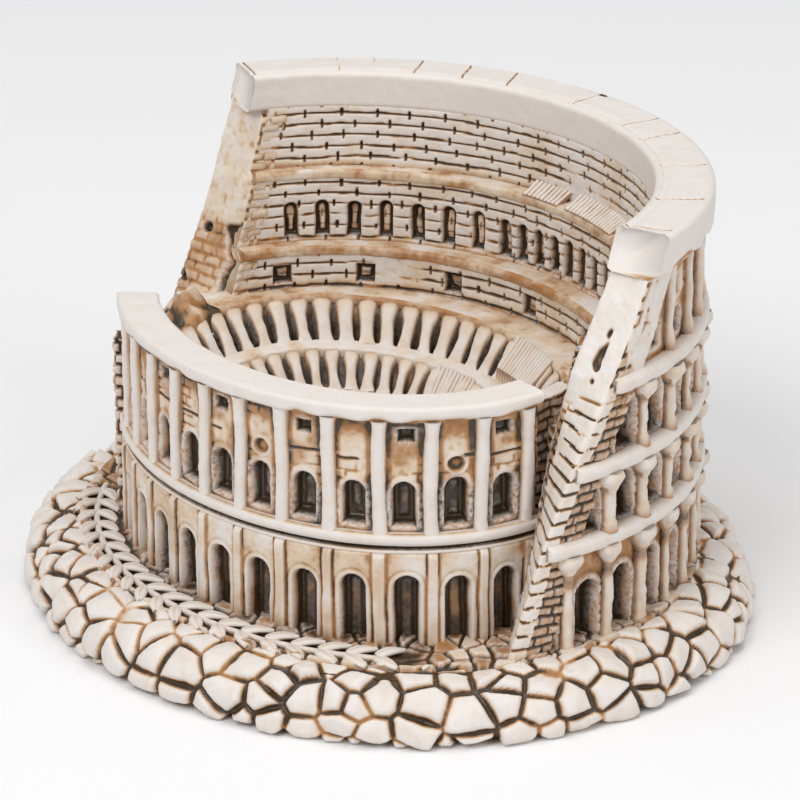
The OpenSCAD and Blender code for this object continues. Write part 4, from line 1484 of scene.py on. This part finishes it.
def broken_end(heights, outline_at, carve, grain, rounding=0.5):
    """A broken wall end. outline_at(z) gives the corners of its plan, the last of which lies inside the wall.
    carve(d, z, side, k, p) takes the run round the plan, the height, the side's number and the way along."""
    z = np.linspace(heights[0], heights[1], int((heights[1] - heights[0]) / grain))
    plans = [np.array(outline_at(v)) for v in z]
    sizes = np.mean([np.linalg.norm(np.roll(c, -1, 0) - c, axis=1) for c in plans], 0)
    sides = len(sizes)
    steps = [max(3, int(size / grain)) if n < sides - 1 else 3 for n, size in enumerate(sizes)]
    side = np.concatenate([np.full(n, i) for i, n in enumerate(steps)])
    k = np.concatenate([np.arange(n) / n for n in steps])
    run = np.concatenate([[0], np.cumsum(sizes)])[side] + k * sizes[side]
    flat = np.stack([c[side] * (1 - k[:, None]) + c[(side + 1) % sides] * k[:, None] for c in plans])
    reach = max(1, int(rounding / grain))
    kernel = sum(np.roll(flat, n, 1) for n in range(-reach, reach + 1)) / (2 * reach + 1)
    p = np.concatenate([kernel, np.broadcast_to(z[:, None, None], flat.shape[:2] + (1,))], -1)
    way = np.cross(np.gradient(p, axis=0), np.roll(p, -1, 1) - np.roll(p, 1, 1))
    way /= np.linalg.norm(way, axis=-1, keepdims=True) + 1e-12
    middle = p.mean(1, keepdims=True)
    way *= np.sign(((p - middle) * way)[..., :2].sum(-1).mean())
    shape = p.shape[:2]
    h, stain = carve(*(np.broadcast_to(v, shape) for v in (run, z[:, None], side, k)), p)
    wash, rub = wash_of(h, grain)
    return Skin().grid(p + way * h[..., None], wash + stain, rub)


class MINIATURE_OT_right_spur(Operator):
    """Build the plastered slope and the brick quoin that brace the tall wall's right end"""

    bl_idname = "miniature.right_spur"
    bl_label = "Right broken end"

    def execute(self, context):
        z_break = levels("right_spur")[1]
        top = TOP - 0.2
        face = TALL.inset(1.0)
        # The slope's inner edge, from foot to top: its heights, and its place at each.
        edge_z = (7, 18, 28, 38, 46, 53)
        edge_x, edge_y = (35.2, 34.7, 34.3, 35.6, 34.3, 30.6), (-0.6, 2.0, 4.0, 6.0, 10.4, 16.4)

        def plan(z):
            edge = right_edge(z)
            near = np.array([np.interp(z, edge_z, edge_x), np.interp(z, edge_z, edge_y)])
            outer = [face.at(edge + d) for d in (9.0, 6.0, 3.0, 0.0)]
            x, y = (near - CENTRE) / (INNER_UPPER.a, INNER_UPPER.b)
            turn = math.degrees(math.atan2(y, x))
            deep = near + (INNER_UPPER.at(turn + 9) - INNER_UPPER.at(turn))
            return outer + [near, deep]

        def carve(d, z, side, k, p):
            slope = side == 3
            low = ramp(z_break - 2.0, z_break - 5.5, z + 1.6 * lumps(p, 4, 310))
            # Below the break, long quoin stones with dashed joints hold the corner.
            course = 1.62
            rise = (z + 0.12 * lumps(p, 2, 311)) / course
            row = np.floor(rise)
            bed = (0.5 - np.abs(rise - row - 0.5)) * course
            quoin = np.where(slope, ramp(0.82, 0.7, k + 0.16 * (chance(row, seed=312) - 0.5)), side == 2)
            dash = chance(row, np.floor(k * 2.4 + 0.5 * row), seed=309)
            dash = ramp(0.24, 0.08, bed) * ramp(0.1, 0.3, dash)
            cut = 0.6 * dash * ramp(0.0, 0.25, np.where(slope, k, 0) + 0.1)
            h = low * quoin * (0.16 * (chance(row, seed=313) - 0.35) - cut)
            # Small rubble fills in beside them.
            bed, end, one = courses(d, z, 1.15, 2.3, 314, 0.25)
            rubble = low * np.where(slope, 1 - quoin, side < 2)
            h = h + rubble * (0.25 * (one - 0.5) - 0.4 * mortar(bed, end, 0.28, 0.26))
            # Above the break the face is plaster, with bricks laid bare in patches and a few pits.
            bare = lumps(p, 4.5, 315) + 0.35 * (side == 1) - 0.5 * (z > 50)
            bare = (1 - low) * (side < 3) * ramp(-0.1, 0.25, bare)
            bed, end, one = courses(d, z, 1.45, 3.0, 316, 0.2)
            h = h + bare * (0.2 * (one - 0.5) - 0.5 * mortar(bed, end, 0.3, 0.28, 0.1))
            pit = slope * ramp(1.1, 0.7, np.hypot((k - 0.48) * 9, (z - 40) / 2.2) + 0.55 * lumps(p, 1.1, 317))
            h = h - 0.6 * pit + 0.16 * rough(p, 2.4, 318) + 0.07 * rough(p, 0.8, 319, 2)
            stain = 0.4 * rubble + 0.3 * bare + (0.06 + 0.6 * dash) * low * quoin + 0.45 * pit
            stain = stain + 0.2 * low * slope * ramp(0.7, 0.9, k)
            # Near the ground the spur is darker: pooled wash with painted shade.
            return h, stain + 0.3 * ramp(2.2, 0, z - GROUND) - 0.06 * (1 - low) * slope

        skin = broken_end((GROUND - 0.3, top), plan, carve, look().grain * 0.85, 0.8)

        def recess(s, z, t, p):
            bed, end, one = courses(s, z, 1.3, 2.4, 305, 0.3)
            h = 0.3 * (one - 0.5) - 0.35 * mortar(bed, end, 0.26, 0.24) + 0.28 * rough(p, 1.9, 306)
            # The recessed return is darker all over: painted shade over the whole recess, on top of the wash
            # in its joints.
            return h, 0.42 + 0.3 * lumps(p, 2.2, 307)

        wall_skin(skin, LOW.inset(1.3), LOW_INNER.inset(-0.7), FRONT_RIGHT - 4, 27, GROUND - 0.2, 33.8,
                  look().grain, front=recess, back=recess)
        make_piece("right_spur", skin, "Spurs", "ivory_resin", ("right_spur", "right_end_slab"))
        return {"FINISHED"}


class MINIATURE_OT_left_end(Operator):
    """Build the left broken end, the stub that runs back to the front wall, and the rubble between"""

    bl_idname = "miniature.left_end"
    bl_label = "Left broken end"

    def execute(self, context):
        grain = look().grain * 1.1
        face = TALL.inset(1.0)

        def plan(z):
            edge = left_edge(z)
            steps = (30.0, 31.2, 39.6, 40.8, 47.6, 49.4)
            rule = TALL.inset(np.interp(z, steps, (10.3, 8.3, 8.3, 6.9, 6.9, 4.2)),
                              np.interp(z, steps, (12.2, 9.2, 9.2, 6.9, 6.9, 4.2)))
            inner = [rule.at(left_inner(z) - d) for d in (0.0, 3.0, 6.0)]
            return [face.at(edge - 9.0), face.at(edge - 4.5), face.at(edge)] + inner

        def carve(d, z, side, k, p):
            low = ramp(37, 31, z + 2.5 * lumps(p, 4, 330))
            bed, end, one = courses(d, z, 1.2, 2.4, 331, 0.25)
            joint = mortar(bed, end, 0.28, 0.26)
            patch = np.clip(0.45 * low * (side < 3) + ramp(0.1, 0.4, lumps(p, 5, 332)) * (side < 2), 0, 1)
            hole = ramp(0.35, 0.6, lumps(p, 3.0, 333)) * low * (side == 2)
            h = patch * (0.16 * (one - 0.5) - 0.28 * joint) - 1.2 * hole
            h = h + 0.2 * rough(p, 2.6, 334) + 0.07 * rough(p, 0.8, 335, 2)
            rear = (side > 2) * (side < 5)
            h = h - rear * (0.22 * joint - 0.2 * (one - 0.5)) * (1 - patch)
            return h, 0.35 * patch + 0.5 * hole + 0.1 + 0.2 * lumps(p, 4, 336) * low + 0.12 * rear

        skin = broken_end((GROUND - 0.3, TOP - 0.3), plan, carve, grain)
        make_piece("left_spur", skin, "Spurs", "ivory_resin")

        self.stub_and_rubble(grain)
        return {"FINISHED"}

    def stub_and_rubble(self, grain):
        """A thin pierced pier between the two walls' left ends, and the rubble heaped behind it."""
        far, near = TALL.inset(2.5).at(201), LOW.inset(-1.0).at(FRONT_LEFT - 3)
        thick = 4.2
        along = (near - far) / np.linalg.norm(near - far)
        back = np.array([-along[1], along[0]])
        back = back * np.sign(back @ (CENTRE - far))

        def stub_plan(z):
            start = far + along * (4.0 + 16.0 * float(ramp(12.0, 29.0, z)))
            return [start, near, near + back * thick, start + back * thick]

        def stub_carve(d, z, side, k, p):
            bed, end, one = courses(d, z, 1.5, 2.6, 340, 0.25)
            pitch = 5.2
            niche = opening(((d + 1) % pitch) - pitch / 2, z - GROUND - 1, 2.2, 7.0)
            h = 0.4 * (one - 0.5) - 0.55 * mortar(bed, end, 0.32, 0.28) + 0.15 * rough(p, 2, 341)
            h = h - 1.2 * ramp(0.15, -0.4, niche) * (side == 0)
            # Inside the niches the wash gathers; near the ground pooled wash and painted shade darken the
            # pier.
            return h, 0.1 + 0.5 * ramp(0.1, -0.3, niche) * (side == 0) + 0.3 * ramp(2, 0, z - GROUND)

        skin = broken_end((GROUND - 0.3, 28.8), stub_plan, stub_carve, grain)

        def debris(s, r, t, p):
            lump = np.abs(rough(p, 5.5, 350, 3))
            slope = 5.5 * ramp(236, 206, t) - 2.0 + 2.4 * ramp(3, 0, r)
            cavity = ramp(0.35, 0.7, lumps(p, 4.0, 356) * 0.5 + 0.5)
            h = 1.7 * lump + slope - 2.4 * cavity + 0.2 * rough(p, 1, 352)
            return h, 0.2 + 0.6 * cavity + 0.3 * lumps(p, 2, 353)

        def crumbled(s, z, t, p):
            return 0.35 * rough(p, 2.4, 357), 0.35 + 0.3 * lumps(p, 2.5, 358)

        rubble = wall_skin(Skin(), LOW.inset(0.9), LOW_INNER.inset(1.2), 196, 360 + FRONT_LEFT + 1.5,
                           GROUND - 0.2, 23.3, grain, front=crumbled, top=debris, nose=0.3)
        make_piece("left_end_pier", skin, "Arcades", "ivory_resin")
        make_piece("left_rubble", rubble, "Spurs", "ochre_resin")


class MINIATURE_OT_felt(Operator):
    """Give the felt under the plinth its matted finish"""

    bl_idname = "miniature.felt"
    bl_label = "Felt pad"

    def execute(self, context):
        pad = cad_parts["felt_pad"]
        pad.data.materials.clear()
        pad.data.materials.append(felt())
        return {"FINISHED"}


# ---------------------------------------------------------------- stage


class MINIATURE_OT_stage(Operator):
    """Set the pale floor, the soft lights and the camera"""

    bl_idname = "miniature.stage"
    bl_label = "Stage"

    def execute(self, context):
        half, drop = 3, -0.0002
        floor_mesh = bpy.data.meshes.new("floor")
        corners = [(-half, -half, drop), (half, -half, drop), (half, half, drop), (-half, half, drop)]
        floor_mesh.from_pydata(corners, [], [(0, 1, 2, 3)])
        floor = bpy.data.objects.new("floor", floor_mesh)
        context.scene.collection.objects.link(floor)
        white = bpy.data.materials.new("Floor")
        white.use_nodes = True
        paint = white.node_tree.nodes["Principled BSDF"].inputs
        paint["Base Color"].default_value = (0.86, 0.86, 0.87, 1)
        paint["Roughness"].default_value = 0.9
        floor_mesh.materials.append(white)

        world = bpy.data.worlds.new("Soft room")
        world.use_nodes = True
        glow = world.node_tree.nodes["Background"].inputs
        glow["Color"].default_value = (1, 1, 1, 1)
        glow["Strength"].default_value = 0.43
        context.scene.world = world

        for name, place, size, power in (
                ("key", (0.32, -0.62, 0.75), 0.5, 4.4), ("top", (0.0, 0.05, 0.9), 0.7, 2.9),
                ("side", (0.75, 0.35, 0.45), 0.5, 1.9)):
            light = bpy.data.objects.new(name, bpy.data.lights.new(name, "AREA"))
            light.data.size, light.data.energy = size, power
            light.location = place
            aim(light, (0, 0, 0.03))
            context.scene.collection.objects.link(light)

        camera = bpy.data.objects.new("camera", bpy.data.cameras.new("camera"))
        context.scene.collection.objects.link(camera)
        context.scene.camera = camera
        camera.data.lens, camera.data.sensor_width = 183.1, 36
        camera.data.clip_start, camera.data.clip_end = 0.01, 10
        camera.location = (0.4147, -0.1986, 0.2050)
        aim(camera, (-0.0019, 0.0028, 0.0218))
        context.scene.view_settings.view_transform = "Standard"
        return {"FINISHED"}


def aim(thing, target):
    """Turns a light or camera to face a place."""
    thing.rotation_euler = (Vector(target) - Vector(thing.location)).to_track_quat("-Z", "Y").to_euler()


STEPS = (
    MINIATURE_OT_felt, MINIATURE_OT_cobbles, MINIATURE_OT_paving, MINIATURE_OT_leaf_border,
    MINIATURE_OT_front_lower, MINIATURE_OT_front_string, MINIATURE_OT_front_upper,
    MINIATURE_OT_front_pilasters, MINIATURE_OT_front_coping, MINIATURE_OT_outer_arcades,
    MINIATURE_OT_outer_columns, MINIATURE_OT_cornices, MINIATURE_OT_attic, MINIATURE_OT_top_coping,
    MINIATURE_OT_inner_walls, MINIATURE_OT_bowl, MINIATURE_OT_stairs, MINIATURE_OT_right_spur,
    MINIATURE_OT_left_end, MINIATURE_OT_stage,
)


class MINIATURE_PT_panel(Panel):
    """Lists the miniature's pieces and its sizes and colours"""

    bl_idname = "MINIATURE_PT_panel"
    bl_label = "Amphitheatre Miniature"
    bl_space_type = "VIEW_3D"
    bl_region_type = "UI"
    bl_category = "Miniature"

    def draw(self, context):
        look_ = context.scene.miniature_look
        for name in MiniatureLook.__annotations__:
            self.layout.prop(look_, name)
        for step in STEPS:
            self.layout.operator(step.bl_idname)


CLASSES = (MiniatureLook, *STEPS, MINIATURE_PT_panel)


def register():
    for item in CLASSES:
        bpy.utils.register_class(item)
    bpy.types.Scene.miniature_look = PointerProperty(type=MiniatureLook)


def unregister():
    del bpy.types.Scene.miniature_look
    for item in reversed(CLASSES):
        bpy.utils.unregister_class(item)


def main():
    register()
    for step in STEPS:
        group, name = step.bl_idname.split(".")
        if getattr(getattr(bpy.ops, group), name)() != {"FINISHED"}:
            raise RuntimeError(f"{step.bl_label} was not finished")


if __name__ == "__main__":
    main()
